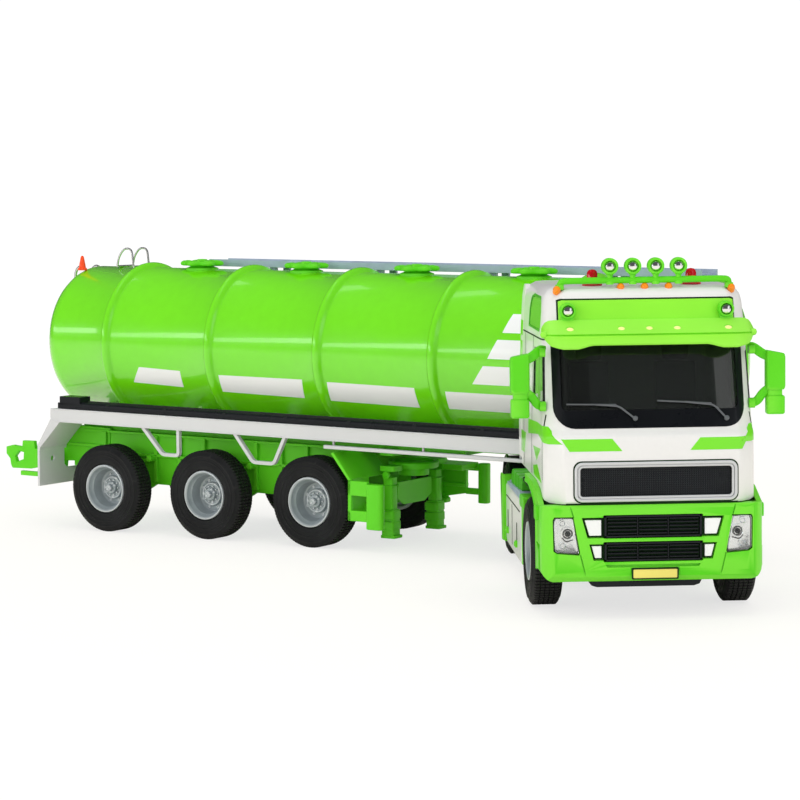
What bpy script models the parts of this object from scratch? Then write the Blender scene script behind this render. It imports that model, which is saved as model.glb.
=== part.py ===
"""A 1:50 model of an articulated road tanker: a cab-over tractor and a three-axle tank trailer.

The origin is on the kingpin axis, on the flat underside of the tractor's drive-axle block. The tractor
faces -Y, its left side is +X and +Z is up. Everything is built with heights measured from the ground and
is then let down by UNDERSIDE. The trailer is built straight behind the kingpin, then swung about it to
the articulated rest position. Sizes below are in millimetres and are turned into metres by mm().
"""

from math import cos, pi, radians, sin, sqrt

import bmesh
import bpy

# Running gear
TYRE_RADIUS = 12.17
TYRE_WIDTH = 7.0
RIM_RADIUS = 6.6
AXLE_RADIUS = 1.0
GAP = 0.1

# Tractor, measured from the kingpin axis and the ground
UNDERSIDE = 9.0
CAB_FRONT = -97.4
CAB_BACK = -43.2
CAB_HALF_WIDTH = 23.3
CAB_TAPER = 0.07
ROOF_HEIGHT = 72.2
BUMPER_FRONT = -99.8
BUMPER_HALF_WIDTH = 24.5
BUMPER_TOP = 25.0
BUMPER_BOTTOM = 8.4
FRONT_AXLE_Y = -76.0
DRIVE_AXLE_Y = 6.0
FRONT_TRACK = 21.7
DRIVE_TRACK = 17.0
FIFTH_WHEEL_TOP = 25.6

# Trailer, measured rearward from its foremost axle
SWING = 54.1
NOSE_DOWN = 0.92
KINGPIN_AHEAD = 73.0
AXLE_SPACING = 35.0
TRAILER_TRACK = 21.3
TANK_HEIGHT = 51.27
TANK_RADIUS = 20.95
RING_RADIUS = 22.4
RING_SPACING = 36.1
REAR_RING = 72.25
FRONT_RING = -104.0
TANK_REAR = 97.3
TANK_FRONT = -107.5
TANK_WALL = 1.2
RAIL_OUTSIDE = 25.0
RAIL_INSIDE = 22.0
RAIL_TOP = 32.66
RAIL_BOTTOM = 28.91
RAIL_REAR = 89.5
RAIL_FRONT = -104.0
LEG_T = -17.0
LEG_X = 11.0
FOOT_CLEARANCE = 1.7

PAINTS = {
    # name: (colour, roughness, metallic)
    "lime_gloss": ((0.21, 0.80, 0.015), 0.22, 0.0),
    "lime_plastic": ((0.19, 0.70, 0.03), 0.38, 0.0),
    "cab_white": ((0.86, 0.86, 0.85), 0.25, 0.0),
    "satin_silver": ((0.62, 0.64, 0.66), 0.35, 0.7),
    "rim_grey": ((0.36, 0.39, 0.42), 0.4, 0.5),
    "tyre_black": ((0.025, 0.025, 0.027), 0.75, 0.0),
    "black_plastic": ((0.02, 0.022, 0.024), 0.45, 0.0),
    "tinted_glass": ((0.03, 0.04, 0.035), 0.08, 0.0),
    "lamp_clear": ((0.75, 0.78, 0.80), 0.12, 0.2),
    "lamp_red": ((0.65, 0.02, 0.02), 0.15, 0.0),
    "steel": ((0.55, 0.55, 0.57), 0.3, 1.0),
}

X_AXIS = (0.0, pi / 2, 0.0)
Y_AXIS = (-pi / 2, 0.0, 0.0)
Z_AXIS = (0.0, 0.0, 0.0)
SIDE_VIEW = (pi / 2, 0.0, pi / 2)
FRONT_VIEW = (pi / 2, 0.0, 0.0)
PLAN_VIEW = (0.0, 0.0, 0.0)


def mm(*values):
    """Millimetres to metres, as a tuple."""
    return tuple(value * 0.001 for value in values)


def clear_scene():
    for obj in list(bpy.data.objects):
        bpy.data.objects.remove(obj, do_unlink=True)


def new_collection(name):
    collection = bpy.data.collections.new(name)
    bpy.context.scene.collection.children.link(collection)
    return collection


clear_scene()
PARTS = new_collection("tanker_truck")
TOOLS = new_collection("cutters")


# ---------------------------------------------------------------- shapes

def add_object(name, mesh):
    obj = bpy.data.objects.new(name, mesh)
    PARTS.objects.link(obj)
    return obj


def block(name, size, centre, rotation=Z_AXIS):
    """A box of the given size in millimetres."""
    mesh = bpy.data.meshes.new(name)
    bm = bmesh.new()
    bmesh.ops.create_cube(bm, size=1.0)
    bmesh.ops.scale(bm, vec=mm(*size), verts=bm.verts)
    bm.to_mesh(mesh)
    bm.free()
    obj = add_object(name, mesh)
    obj.location = mm(*centre)
    obj.rotation_euler = rotation
    return obj


def between(name, low, high):
    """A box from its lowest to its highest corner."""
    size = [b - a for a, b in zip(low, high)]
    centre = [(a + b) / 2 for a, b in zip(low, high)]
    return block(name, size, centre)


def rod(name, radius, length, centre, rotation=X_AXIS, sides=20):
    """A cylinder along its local Z, turned by rotation."""
    mesh = bpy.data.meshes.new(name)
    bm = bmesh.new()
    bmesh.ops.create_cone(
        bm, cap_ends=True, segments=sides,
        radius1=radius * 0.001, radius2=radius * 0.001, depth=length * 0.001,
    )
    bm.to_mesh(mesh)
    bm.free()
    obj = add_object(name, mesh)
    obj.location = mm(*centre)
    obj.rotation_euler = rotation
    smooth(obj)
    return obj


def turned(name, profile, centre, rotation, sides, closed=False):
    """A turned shape: profile points are (radius, height), run down the outer side."""
    mesh = bpy.data.meshes.new(name)
    bm = bmesh.new()
    verts = [bm.verts.new(mm(radius, 0, height)) for radius, height in profile]
    for first, second in zip(verts, verts[1:]):
        bm.edges.new((first, second))
    if closed:
        bm.edges.new((verts[-1], verts[0]))
    bm.to_mesh(mesh)
    bm.free()
    obj = add_object(name, mesh)
    obj.location = mm(*centre)
    obj.rotation_euler = rotation
    screw = obj.modifiers.new("turn", "SCREW")
    screw.steps = sides
    screw.render_steps = sides
    screw.use_merge_vertices = True
    screw.merge_threshold = 0.00001
    screw.use_smooth_shade = True
    return obj


def slab(name, outline, depth, centre, view):
    """A flat outline, in millimetres, given a depth across the view it is drawn in."""
    curve = bpy.data.curves.new(name, "CURVE")
    curve.dimensions = "2D"
    curve.fill_mode = "BOTH"
    curve.extrude = depth * 0.0005
    spline = curve.splines.new("POLY")
    spline.points.add(len(outline) - 1)
    for point, (across, up) in zip(spline.points, outline):
        point.co = (across * 0.001, up * 0.001, 0.0, 1.0)
    spline.use_cyclic_u = True
    guide = bpy.data.objects.new(name + "_outline", curve)
    PARTS.objects.link(guide)
    guide.location = mm(*centre)
    guide.rotation_euler = view
    return solid_from(guide, name)


def wire(name, points, radius, sides=0):
    """A round wire through the points, with filled ends."""
    curve = bpy.data.curves.new(name, "CURVE")
    curve.dimensions = "3D"
    curve.bevel_depth = radius * 0.001
    curve.bevel_resolution = sides
    curve.use_fill_caps = True
    spline = curve.splines.new("POLY")
    spline.points.add(len(points) - 1)
    for point, place in zip(spline.points, points):
        point.co = (*mm(*place), 1.0)
    guide = bpy.data.objects.new(name + "_path", curve)
    PARTS.objects.link(guide)
    return solid_from(guide, name)


def solid_from(guide, name):
    """The curve's evaluated shape as one welded mesh; the curve is removed."""
    bpy.context.view_layer.update()
    depsgraph = bpy.context.evaluated_depsgraph_get()
    mesh = bpy.data.meshes.new_from_object(guide.evaluated_get(depsgraph))
    mesh.name = name
    bm = bmesh.new()
    bm.from_mesh(mesh)
    bmesh.ops.remove_doubles(bm, verts=bm.verts, dist=0.000005)
    bmesh.ops.recalc_face_normals(bm, faces=bm.faces)
    bm.to_mesh(mesh)
    bm.free()
    obj = add_object(name, mesh)
    obj.matrix_world = guide.matrix_world
    bpy.data.objects.remove(guide, do_unlink=True)
    return obj


def rounded(half_width, half_height, radius, centre=(0.0, 0.0), steps=3):
    """The outline of a rectangle with round corners."""
    points = []
    for corner in range(4):
        side_x = 1 if corner in (0, 3) else -1
        side_y = 1 if corner in (0, 1) else -1
        for step in range(steps + 1):
            angle = pi / 2 * (corner + step / steps)
            points.append((
                centre[0] + side_x * (half_width - radius) + radius * cos(angle),
                centre[1] + side_y * (half_height - radius) + radius * sin(angle),
            ))
    return points


def bevel(obj, width, segments=1, angle=40):
    modifier = obj.modifiers.new("bevel", "BEVEL")
    modifier.width = width * 0.001
    modifier.segments = segments
    modifier.limit_method = "ANGLE"
    modifier.angle_limit = radians(angle)
    return obj


def smooth(obj):
    obj.data.shade_smooth()
    obj.data.set_sharp_from_angle(angle=radians(35))
    return obj


def combine(target, operation, tools):
    for tool in tools:
        modifier = target.modifiers.new(operation.lower(), "BOOLEAN")
        modifier.operation = operation
        modifier.solver = "EXACT"
        modifier.object = tool
        tool.hide_render = True
        tool.display_type = "WIRE"
        if tool.name in PARTS.objects:
            PARTS.objects.unlink(tool)
            TOOLS.objects.link(tool)
    return target


def join(target, *tools):
    return combine(target, "UNION", tools)


def cut(target, *tools):
    return combine(target, "DIFFERENCE", tools)


def use_manifold(obj):
    """For pieces joined from many thin bars, where the exact solver leaves open edges."""
    for modifier in obj.modifiers:
        if modifier.type == "BOOLEAN":
            modifier.solver = "MANIFOLD"


def paint(obj, name):
    material = bpy.data.materials.get(name)
    if material is None:
        colour, roughness, metallic = PAINTS[name]
        material = bpy.data.materials.new(name)
        material.use_nodes = True
        shader = material.node_tree.nodes["Principled BSDF"]
        shader.inputs["Base Color"].default_value = (*colour, 1.0)
        shader.inputs["Roughness"].default_value = roughness
        shader.inputs["Metallic"].default_value = metallic
    obj.data.materials.clear()
    obj.data.materials.append(material)
    return obj


def frame(name, location, rotation, parent=None):
    empty = bpy.data.objects.new(name, None)
    PARTS.objects.link(empty)
    empty.location = mm(*location)
    empty.rotation_euler = rotation
    empty.parent = parent
    return empty


def hang(parent, *builders):
    """Runs the builders and hangs everything they make on the parent frame."""
    before = set(bpy.data.objects)
    for builder in builders:
        builder()
    for obj in bpy.data.objects:
        if obj not in before and obj.parent is None:
            obj.parent = parent


# ---------------------------------------------------------------- wheels

def rim(name, centre, outward):
    """A dished wheel rim with a raised hub and a blind bore for the axle."""
    profile = [
        (0.0, 1.9), (1.7, 1.9), (2.9, 0.9), (3.1, -0.5), (4.9, -0.8), (6.1, 3.3), (RIM_RADIUS, 3.3),
        (RIM_RADIUS, -3.0), (4.9, -2.0), (AXLE_RADIUS + GAP, -2.0), (AXLE_RADIUS + GAP, 0.6), (0.0, 0.6),
    ]
    obj = turned(name, profile, centre, (0.0, outward * pi / 2, 0.0), 18)
    return paint(obj, "rim_grey")


def tyre(name, centre, width=TYRE_WIDTH):
    half = width / 2
    bore = RIM_RADIUS + GAP
    shoulder = TYRE_RADIUS - 0.9
    profile = [
        (bore, half - 0.2), (shoulder, half), (TYRE_RADIUS, half - 0.8),
        (TYRE_RADIUS, 0.8 - half), (shoulder, -half), (bore, 0.2 - half),
    ]
    obj = turned(name, profile, centre, X_AXIS, 24, closed=True)
    return paint(obj, "tyre_black")


def twin_tyre(name, centre):
    """Two tyres side by side, moulded as one ring with a groove between them."""
    half = 5.5
    bore = RIM_RADIUS + GAP
    shoulder = TYRE_RADIUS - 0.8
    profile = [
        (bore, half), (shoulder, half), (TYRE_RADIUS, half - 0.8), (TYRE_RADIUS, 0.7),
        (TYRE_RADIUS - 2.6, 0.0), (TYRE_RADIUS, -0.7), (TYRE_RADIUS, 0.8 - half), (shoulder, -half),
        (bore, -half),
    ]
    obj = turned(name, profile, centre, X_AXIS, 24, closed=True)
    return paint(obj, "tyre_black")


def axle(name, y, track):
    reach = track + 0.3
    obj = rod(name, AXLE_RADIUS, 2 * reach, (0, y, TYRE_RADIUS), sides=16)
    return paint(obj, "steel")


def wheel_pair(prefix, y, track, twin=False):
    """An axle with a rim and a tyre on each end."""
    axle(prefix + "_axle", y, track)
    for side, label in ((1, "left"), (-1, "right")):
        centre = (side * track, y, TYRE_RADIUS)
        rim(f"{prefix}_rim_{label}", centre, side)
        if twin:
            twin_tyre(f"{prefix}_tyre_{label}", centre)
        else:
            tyre(f"{prefix}_tyre_{label}", centre)


# ---------------------------------------------------------------- tractor

def rear_mudguards():
    """Arches over the driving wheels, joined by a bridge across the frame's end."""
    ring = rod("rear_mudguards", 13.3, 45.0, (0, DRIVE_AXLE_Y, TYRE_RADIUS), sides=28)
    hollow = rod("mudguard_hollow", 12.7, 60.0, (0, DRIVE_AXLE_Y, TYRE_RADIUS), sides=28)
    below = between("below_mudguards", (-40, -30, -10), (40, 40, 17.5))
    middle = between("between_mudguards", (-10.8, -30, 10), (10.8, 13.0, 40))
    return cut(ring, hollow, below, middle)


def tractor_chassis():
    body = between("tractor_chassis", (-8.5, -91.0, 14.6), (8.5, 27.0, 18.6))
    front_block = between("front_axle_block", (-9.0, FRONT_AXLE_Y - 5.5, 9.6), (9.0, FRONT_AXLE_Y + 5.5, 15.5))
    rear_block = between("drive_axle_block", (-8.0, -4.0, UNDERSIDE), (8.0, 14.0, 15.5))
    pocket = between("frame_opening", (-5.0, -58.0, 10.0), (5.0, -12.0, 25.0))
    crossbar = between("rear_crossbar", (-12.0, 25.0, 13.5), (12.0, 27.0, 18.6))
    pedestal = between("fifth_wheel_pedestal", (-6.0, -7.0, 18.0), (6.0, 7.0, 22.0))
    under_lip = between("under_bumper_lip", (-12.0, -96.6, 7.4), (12.0, -90.0, 11.8))
    lip_riser = between("lip_riser", (-11.0, -94.8, 9.0), (11.0, -88.0, 16.0))
    front_bore = rod("front_axle_bore", AXLE_RADIUS + GAP, 30, (0, FRONT_AXLE_Y, TYRE_RADIUS))
    drive_bore = rod("drive_axle_bore", AXLE_RADIUS + GAP, 30, (0, DRIVE_AXLE_Y, TYRE_RADIUS))
    join(body, front_block, rear_block, crossbar, pedestal, under_lip, lip_riser)
    join(body, rear_mudguards())
    cut(body, pocket, front_bore, drive_bore)
    paint(body, "black_plastic")


def fifth_wheel():
    """The coupling plate, with a throat that guides the kingpin in from behind."""
    outline = [(-8.5, -8.0), (8.5, -8.0), (8.5, 4.0), (6.0, 10.0), (3.6, 10.0), (1.8, 3.0)]
    outline += [(1.8 * cos(a), -1.8 * sin(a)) for a in (0, pi / 4, pi / 2, 3 * pi / 4, pi)]
    outline += [(-1.8, 3.0), (-3.6, 10.0), (-6.0, 10.0), (-8.5, 4.0)]
    plate = slab("fifth_wheel", outline, 3.2, (0, 0, FIFTH_WHEEL_TOP - 1.6), PLAN_VIEW)
    paint(plate, "black_plastic")


def kingpin():
    profile = [
        (0.0, 26.7), (1.2, 26.7), (1.2, 24.9), (0.85, 24.6), (0.85, 23.9), (1.2, 23.6),
        (1.2, 22.6), (0.0, 22.6),
    ]
    paint(turned("kingpin", profile, (0, 0, 0), Z_AXIS, 20), "steel")


def side_outline(inset, bottom=0.0):
    """The cab's outline from the side, drawn in by inset and let down by bottom."""
    front = CAB_FRONT + inset
    back = CAB_BACK - inset
    roof = ROOF_HEIGHT - inset
    return [
        (front - 1.6, 25.3 - bottom), (-95.4, 25.3 - bottom), (-88.4, 27.9 - bottom), (-80.3, 28.9 - bottom),
        (back, 28.9 - bottom), (back, roof), (-86.5 + inset, roof), (-88.6 + inset, 69.6),
        (-89.6 + inset, 64.0), (-92.4 + inset, 59.6), (front + 0.2, 41.6), (front - 1.6, 40.4),
    ]


def taper(obj):
    """Draws the cab's sides in towards the roof."""
    for vertex in obj.data.vertices:
        place = obj.matrix_world @ vertex.co
        share = max(0.0, (place.z - 0.040) / 0.032)
        vertex.co.z *= 1.0 - CAB_TAPER * share
    return obj


def cab_shell():
    width = 2 * CAB_HALF_WIDTH
    body = taper(slab("cab_shell", side_outline(0.0), width, (0, 0, 0), SIDE_VIEW))
    bevel(body, 1.6, 2)
    cavity = taper(slab("cab_cavity", side_outline(1.5, 6.0), width - 3.0, (0, 0, 0), SIDE_VIEW))
    windscreen = slab("windscreen_opening", rounded(20.6, 9.4, 3.0, (0, 50.6)), 14.0,
                      (0, -95.0, 0), FRONT_VIEW)
    door_window = slab("door_window_opening", rounded(8.5, 7.6, 1.5, (-79.5, 50.6)), 60.0,
                       (0, 0, 0), SIDE_VIEW)
    sleeper_window = slab("sleeper_window_opening", rounded(2.6, 3.6, 1.2, (-62.0, 64.6)), 60.0,
                          (0, 0, 0), SIDE_VIEW)
    grille_opening = between("grille_opening", (-17.6, -101.0, 26.2), (17.6, -90.0, 34.3))
    cut(body, cavity, windscreen, door_window, sleeper_window, grille_opening)
    paint(body, "cab_white")


def cab_glazing():
    """One clear moulding behind the windscreen and both door windows."""
    inner = 1.8
    body = taper(slab("cab_glazing", side_outline(inner), 2 * (CAB_HALF_WIDTH - inner),
                      (0, 0, 0), SIDE_VIEW))
    hollow = taper(slab("glazing_hollow", side_outline(inner + 0.8, 3.0),
                        2 * (CAB_HALF_WIDTH - inner - 0.8), (0, 0, 0), SIDE_VIEW))
    below = between("below_glazing", (-30, -110, 20), (30, -40, 39.5))
    above = between("above_glazing", (-30, -110, 61.2), (30, -40, 80))
    behind = between("behind_glazing", (-30, -68.5, 20), (30, -40, 80))
    cut(body, hollow, below, above, behind)
    paint(body, "tinted_glass")


def cab_interior():
    """The dashboard, floor and two seats as one moulding, with the steering wheel on its column."""
    body = between("cab_interior", (-19.0, -92.0, 35.0), (19.0, -56.0, 36.6))
    dash = block("dashboard", (38.0, 7.0, 6.0), (0, -89.2, 37.6))
    join(body, dash)
    for side in (-1, 1):
        seat = block("seat_base", (9.0, 10.0, 6.0), (side * 10, -73.0, 38.0))
        seat_back = block("seat_back", (9.0, 3.0, 18.0), (side * 10, -67.5, 45.0), (-0.15, 0, 0))
        join(body, seat, seat_back)
    column = rod("steering_column", 0.6, 6.0, (9.5, -84.6, 41.2), (radians(-40), 0, 0), 8)
    wheel = rod("steering_wheel", 4.0, 0.8, (9.5, -82.7, 43.4), (radians(-40), 0, 0), 16)
    join(body, column, wheel)
    paint(body, "black_plastic")


def front_bumper():
    """The lower bodywork: bumper, corners and the arches over the front wheels."""
    arch_outline = [
        (BUMPER_FRONT, BUMPER_BOTTOM + 1.0), (BUMPER_FRONT + 1.0, BUMPER_BOTTOM), (-87.0, BUMPER_BOTTOM),
        (-61.0, BUMPER_BOTTOM + 6.4), (-61.0, 25.0), (-64.5, 28.6), (-80.0, 28.6), (-88.2, 27.6),
        (-95.4, BUMPER_TOP), (BUMPER_FRONT, BUMPER_TOP),
    ]
    body = slab("front_bumper", arch_outline, 2 * BUMPER_HALF_WIDTH, (0, 0, 0), SIDE_VIEW)
    bevel(body, 1.2, 2, 60)
    cavity = between("bumper_cavity", (-23.2, -97.0, 0), (23.2, -50, 40))
    wheel_arch = rod("wheel_arch", 13.2, 60, (0, FRONT_AXLE_Y, TYRE_RADIUS), sides=24)
    upper_intake = between("upper_intake", (-14.9, -102, 18.0), (14.9, -92, 22.9))
    lower_intake = between("lower_intake", (-13.4, -102, 12.8), (13.4, -92, 17.0))
    cut(body, cavity, wheel_arch, upper_intake, lower_intake)
    for side in (-1, 1):
        lamp_hole = between("lamp_hole", (side * 18.8 - 2.8, -102, 14.6), (side * 18.8 + 2.8, -95, 22.4))
        cut(body, lamp_hole)
    paint(body, "lime_plastic")


def headlamp(side, label):
    outline = [(-2.1, -3.4), (2.2, -3.4), (2.4, 3.5), (-2.4, 3.5)]
    lens = slab("headlamp_" + label, [(side * x, z) for x, z in outline], 2.2,
                (side * 18.8, BUMPER_FRONT + 1.2, 18.5), FRONT_VIEW)
    paint(bevel(lens, 0.4), "lamp_clear")


def bumper_intake():
    """The ribbed black insert behind the two bumper openings."""
    body = between("bumper_intake", (-14.6, -96.8, 12.2), (14.6, -95.4, 23.4))
    upper = between("upper_insert", (-10.3, -98.9, 18.3), (10.3, -96.2, 22.6))
    lower = between("lower_insert", (-10.3, -98.9, 13.1), (10.3, -96.2, 16.7))
    join(body, upper, lower)
    for low in (19.0, 20.2, 21.4, 13.7, 14.9):
        groove = between("intake_groove", (-9.9, -99.8, low), (9.9, -98.3, low + 0.6))
        cut(body, groove)
    paint(body, "black_plastic")


def radiator_grille():
    body = slab("radiator_grille", rounded(17.2, 3.75, 1.0, (0, 30.25)), 2.0, (0, -98.9, 0), FRONT_VIEW)
    recess = slab("grille_recess", rounded(15.9, 2.6, 0.6, (0, 30.0)), 1.4, (0, -99.9, 0), FRONT_VIEW)
    cut(body, recess)
    paint(body, "satin_silver")


def header_visor():
    """The lit header panel over the windscreen and the sun visor below it."""
    outline = [(-89.9, 69.3), (-91.0, 69.3), (-92.4, 65.2), (-97.9, 62.0), (-98.6, 59.3),
               (-97.7, 58.9), (-96.4, 60.9), (-92.7, 62.9), (-91.1, 63.9)]
    body = slab("header_visor", outline, 39.6, (0, 0, 0), SIDE_VIEW)
    wing_outline = [(-92.4, 65.2), (-97.9, 62.0), (-98.6, 59.3), (-97.7, 58.9), (-96.4, 60.9), (-93.2, 62.6)]
    wings = slab("visor_wings", wing_outline, 46.2, (0, 0, 0), SIDE_VIEW)
    join(body, wings)
    for side in (-1, 1):
        housing = rod("lamp_housing", 1.65, 2.4, (side * 17.4, -91.6, 66.5), Y_AXIS, 16)
        join(body, housing)
    paint(body, "lime_plastic")


def light_bar():
    """The roof bar with four round lamps on short stalks and two feet."""
    body = rod("light_bar", 0.6, 37.0, (0, -88.0, 74.0), X_AXIS, 8)
    for x in (-7.6, -2.54, 2.54, 7.6):
        lamp = rod("bar_lamp", 1.8, 1.8, (x, -88.0, 76.4), Y_AXIS, 16)
        stalk = block("lamp_stalk", (0.9, 0.9, 1.6), (x, -88.0, 74.7))
        join(body, lamp, stalk)
    for x in (-17.6, 17.6):
        foot = block("bar_foot", (1.2, 1.6, 1.6), (x, -88.0, ROOF_HEIGHT + GAP + 0.8))
        join(body, foot)
    paint(body, "lime_plastic")


def roof_beacon(side, label):
    profile = [
        (0.0, 3.6), (0.8, 3.4), (1.2, 2.6), (1.2, 0.9), (2.2, 0.7), (2.2, 0.0), (0.0, 0.0),
    ]
    beacon = turned("roof_beacon_" + label, profile, (side * 11.0, -84.0, ROOF_HEIGHT + GAP), Z_AXIS, 14)
    paint(beacon, "lamp_red")


def mirror(side, label):
    """A door mirror: main housing, kerb mirror below it and two arms to the cab."""
    x = side * 27.7
    body = block("mirror_" + label, (4.4, 3.4, 9.0), (x, -92.5, 53.2))
    bevel(body, 0.7, 2)
    lower = bevel(block("kerb_mirror", (4.2, 3.2, 5.6), (x, -92.3, 46.6)), 0.6, 1)
    cap = block("mirror_cap", (3.6, 2.4, 2.0), (x, -92.4, 49.2))
    upper_arm = wire("upper_arm", [(x - side, -92.2, 56.6), (side * 23.7, -90.6, 59.0)], 0.6)
    lower_arm = wire("lower_arm", [(x - side, -92.2, 48.4), (side * 24.2, -91.6, 46.0)], 0.6)
    join(body, lower, cap, upper_arm, lower_arm)
    paint(body, "lime_plastic")


def side_fairing(side, label):
    """The tank fairing and step between the front and rear wheels."""
    outer = side * 23.9
    inner = side * 12.0
    low = (min(outer, inner), -57.5, 6.4)
    high = (max(outer, inner), -8.5, 23.4)
    body = between("side_fairing_" + label, low, high)
    bevel(body, 0.8)
    step = between("step_notch", (side * 22 - 3.4, -60.0, 19.4), (side * 22 + 3.4, -50.0, 26.0))
    bracket = between("fairing_bracket", (min(side * 8.8, side * 12.6), -30.0, 15.0),
                      (max(side * 8.8, side * 12.6), -20.0, 18.0))
    cut(body, step)
    join(body, bracket)
    paint(body, "cab_white")


# ---------------------------------------------------------------- trailer, above the axles

def tank_shell():
    """A hollow tank with raised rings, a domed rear end and a filling hole in its front end."""
    rings = [REAR_RING - RING_SPACING * index for index in range(5)] + [FRONT_RING]
    outer = [(0.0, TANK_REAR), (9.0, TANK_REAR - 0.3), (15.6, TANK_REAR - 1.1), (18.6, TANK_REAR - 2.2),
             (20.3, TANK_REAR - 4.1), (TANK_RADIUS, TANK_REAR - 6.6)]
    for ring in rings:
        outer += [(TANK_RADIUS, ring + 1.4), (RING_RADIUS, ring + 0.7),
                  (RING_RADIUS, ring - 0.7), (TANK_RADIUS, ring - 1.4)]
    outer += [(19.2, TANK_FRONT + 0.9), (12.0, TANK_FRONT), (3.0, TANK_FRONT)]
    inner_radius = TANK_RADIUS - TANK_WALL
    inner = [(3.0, TANK_FRONT + TANK_WALL), (17.6, TANK_FRONT + TANK_WALL + 0.6),
             (inner_radius, TANK_FRONT + 5.0), (inner_radius, TANK_REAR - 7.2),
             (15.0, TANK_REAR - 2.6), (0.0, TANK_REAR - TANK_WALL)]
    body = turned("tank_shell", outer + inner, (0, 0, TANK_HEIGHT), Y_AXIS, 36)
    paint(body, "lime_gloss")


def hatch(index):
    """A filling hatch: a neck on the tank's crown with a scalloped handwheel on top."""
    t = REAR_RING - RING_SPACING * (index + 0.5)
    base = TANK_HEIGHT + TANK_RADIUS + GAP
    body = rod(f"hatch_{index + 1}", 3.4, 1.8, (0, t, base + 0.9), Z_AXIS, 20)
    lobes = 6
    outline = []
    for step in range(24):
        angle = 2 * pi * step / 24
        radius = 5.5 + 0.64 * cos(lobes * angle)
        outline.append((radius * cos(angle), radius * sin(angle)))
    knob = slab("hatch_handwheel", outline, 1.0, (0, t, base + 1.6), PLAN_VIEW)
    nut = rod("hatch_nut", 1.5, 1.0, (0, t, base + 2.4), Z_AXIS, 12)
    join(body, knob, nut)
    paint(body, "lime_plastic")


def tank_frame():
    """The silver frame under the tank: side rails, cross members, brackets and rear plate."""
    body = between("tank_frame", (RAIL_INSIDE, RAIL_FRONT, RAIL_BOTTOM), (RAIL_OUTSIDE, RAIL_REAR, RAIL_TOP))
    other = between("other_rail", (-RAIL_OUTSIDE, RAIL_FRONT, RAIL_BOTTOM),
                    (-RAIL_INSIDE, RAIL_REAR, RAIL_TOP))
    join(body, other)
    for t in (-99.0, -54.0, -18.0, 18.0, 54.0, 84.0):
        member = between("cross_member", (-23.0, t - 1.2, 28.93), (23.0, t + 1.2, 29.9))
        join(body, member)
    rear_plate = between("rear_plate", (-RAIL_OUTSIDE, 93.6, 10.2), (RAIL_OUTSIDE, 94.6, 21.6))
    rear_gap = between("rear_plate_gap", (-13.0, 90.0, 14.6), (13.0, 98.0, 25.0))
    cut(rear_plate, rear_gap)
    join(body, rear_plate)
    panel_outline = [(86.1, 29.3), (89.1, 29.6), (94.4, 21.4), (94.4, 20.2), (93.8, 20.2), (93.3, 20.8)]
    for side in (-1, 1):
        panel = slab("slanted_panel", panel_outline, 11.4, (side * 19.0, 0, 0), SIDE_VIEW)
        bolt_hole = rod("plate_hole", 0.8, 6.0, (side * 19.0, 94.1, 17.6), Y_AXIS, 10)
        join(body, panel)
        cut(body, bolt_hole)
        lower_bar = between("lower_bar", (min(side * 23.2, side * 24.8), -66.0, 26.7),
                            (max(side * 23.2, side * 24.8), -4.7, 27.8))
        join(body, lower_bar)
        for t in (-64.0, -35.0, -7.0):
            post = between("bar_post", (side * 24 - 0.7, t - 1.0, 27.0), (side * 24 + 0.7, t + 1.0, 29.4))
            join(body, post)
        for points in (((56.6, 29.2), (49.3, 21.9), (43.9, 21.9), (43.9, 29.2)),
                       ((24.8, 29.2), (18.3, 21.7), (11.5, 21.7), (7.9, 29.2))):
            strap = wire("strap_bracket", [(side * 24.1, t, h) for t, h in points], 0.6)
            join(body, strap)
    use_manifold(body)
    paint(body, "satin_silver")


def hose_tray(side, label):
    """The long black tray lying on a side rail, with a raised block at its rear end."""
    inner, outer = sorted((side * 19.6, side * 24.2))
    body = between("hose_tray_" + label, (inner, -103.5, RAIL_TOP + GAP), (outer, 87.5, RAIL_TOP + 2.3))
    block_end = between("tray_end", (inner, 78.8, RAIL_TOP + 1.0), (outer, 86.9, RAIL_TOP + 3.5))
    groove = between("tray_groove", (side * 21.9 - 1.2, -110, RAIL_TOP + 1.6),
                     (side * 21.9 + 1.2, 76.0, RAIL_TOP + 4.0))
    join(body, block_end)
    cut(body, groove)
    paint(body, "black_plastic")


def walkway():
    """The raised walkway beside the hatches, a shallow channel standing on the rings."""
    body = between("walkway", (8.2, -98.0, 72.6), (17.6, 58.0, 74.6))
    channel = between("walkway_channel", (9.0, -120.0, 73.4), (16.8, 80.0, 76.0))
    cut(body, channel)
    for index in range(1, 5):
        t = REAR_RING - RING_SPACING * index
        foot_height = TANK_HEIGHT + sqrt(RING_RADIUS ** 2 - 14.6 ** 2) + 0.5
        foot = between("walkway_foot", (14.8, t - 1.0, foot_height), (16.4, t + 1.0, 73.0))
        join(body, foot)
    paint(body, "satin_silver")


def ladder():
    """The rear ladder, whose rails run over the tank's end and finish in two hand hoops."""
    crown = TANK_HEIGHT + TANK_RADIUS + 0.9
    path = [(98.0, 34.0), (98.0, crown - 3.0), (96.5, crown - 0.3), (94.0, crown), (77.6, crown),
            (77.6, 76.0), (78.6, 77.0), (81.5, 77.0), (82.5, 76.0), (82.5, crown + 0.9)]
    body = wire("ladder", [(3.5, t, h) for t, h in path], 0.5)
    other = wire("other_ladder_rail", [(-3.5, t, h) for t, h in path], 0.5)
    for index in range(8):
        join(body, rod("rung", 0.36, 7.0, (0, 98.02, 36.3 + 4.6 * index), X_AXIS, 8))
    join(body, other)
    paint(body, "steel")


def rear_beacon():
    profile = [(0.0, 4.2), (0.5, 4.0), (1.1, 1.0), (1.3, 0.9), (1.3, 0.0), (0.0, 0.0)]
    paint(turned("rear_beacon", profile, (-7.2, 92.2, 71.2), Z_AXIS, 12), "lamp_red")


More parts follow.
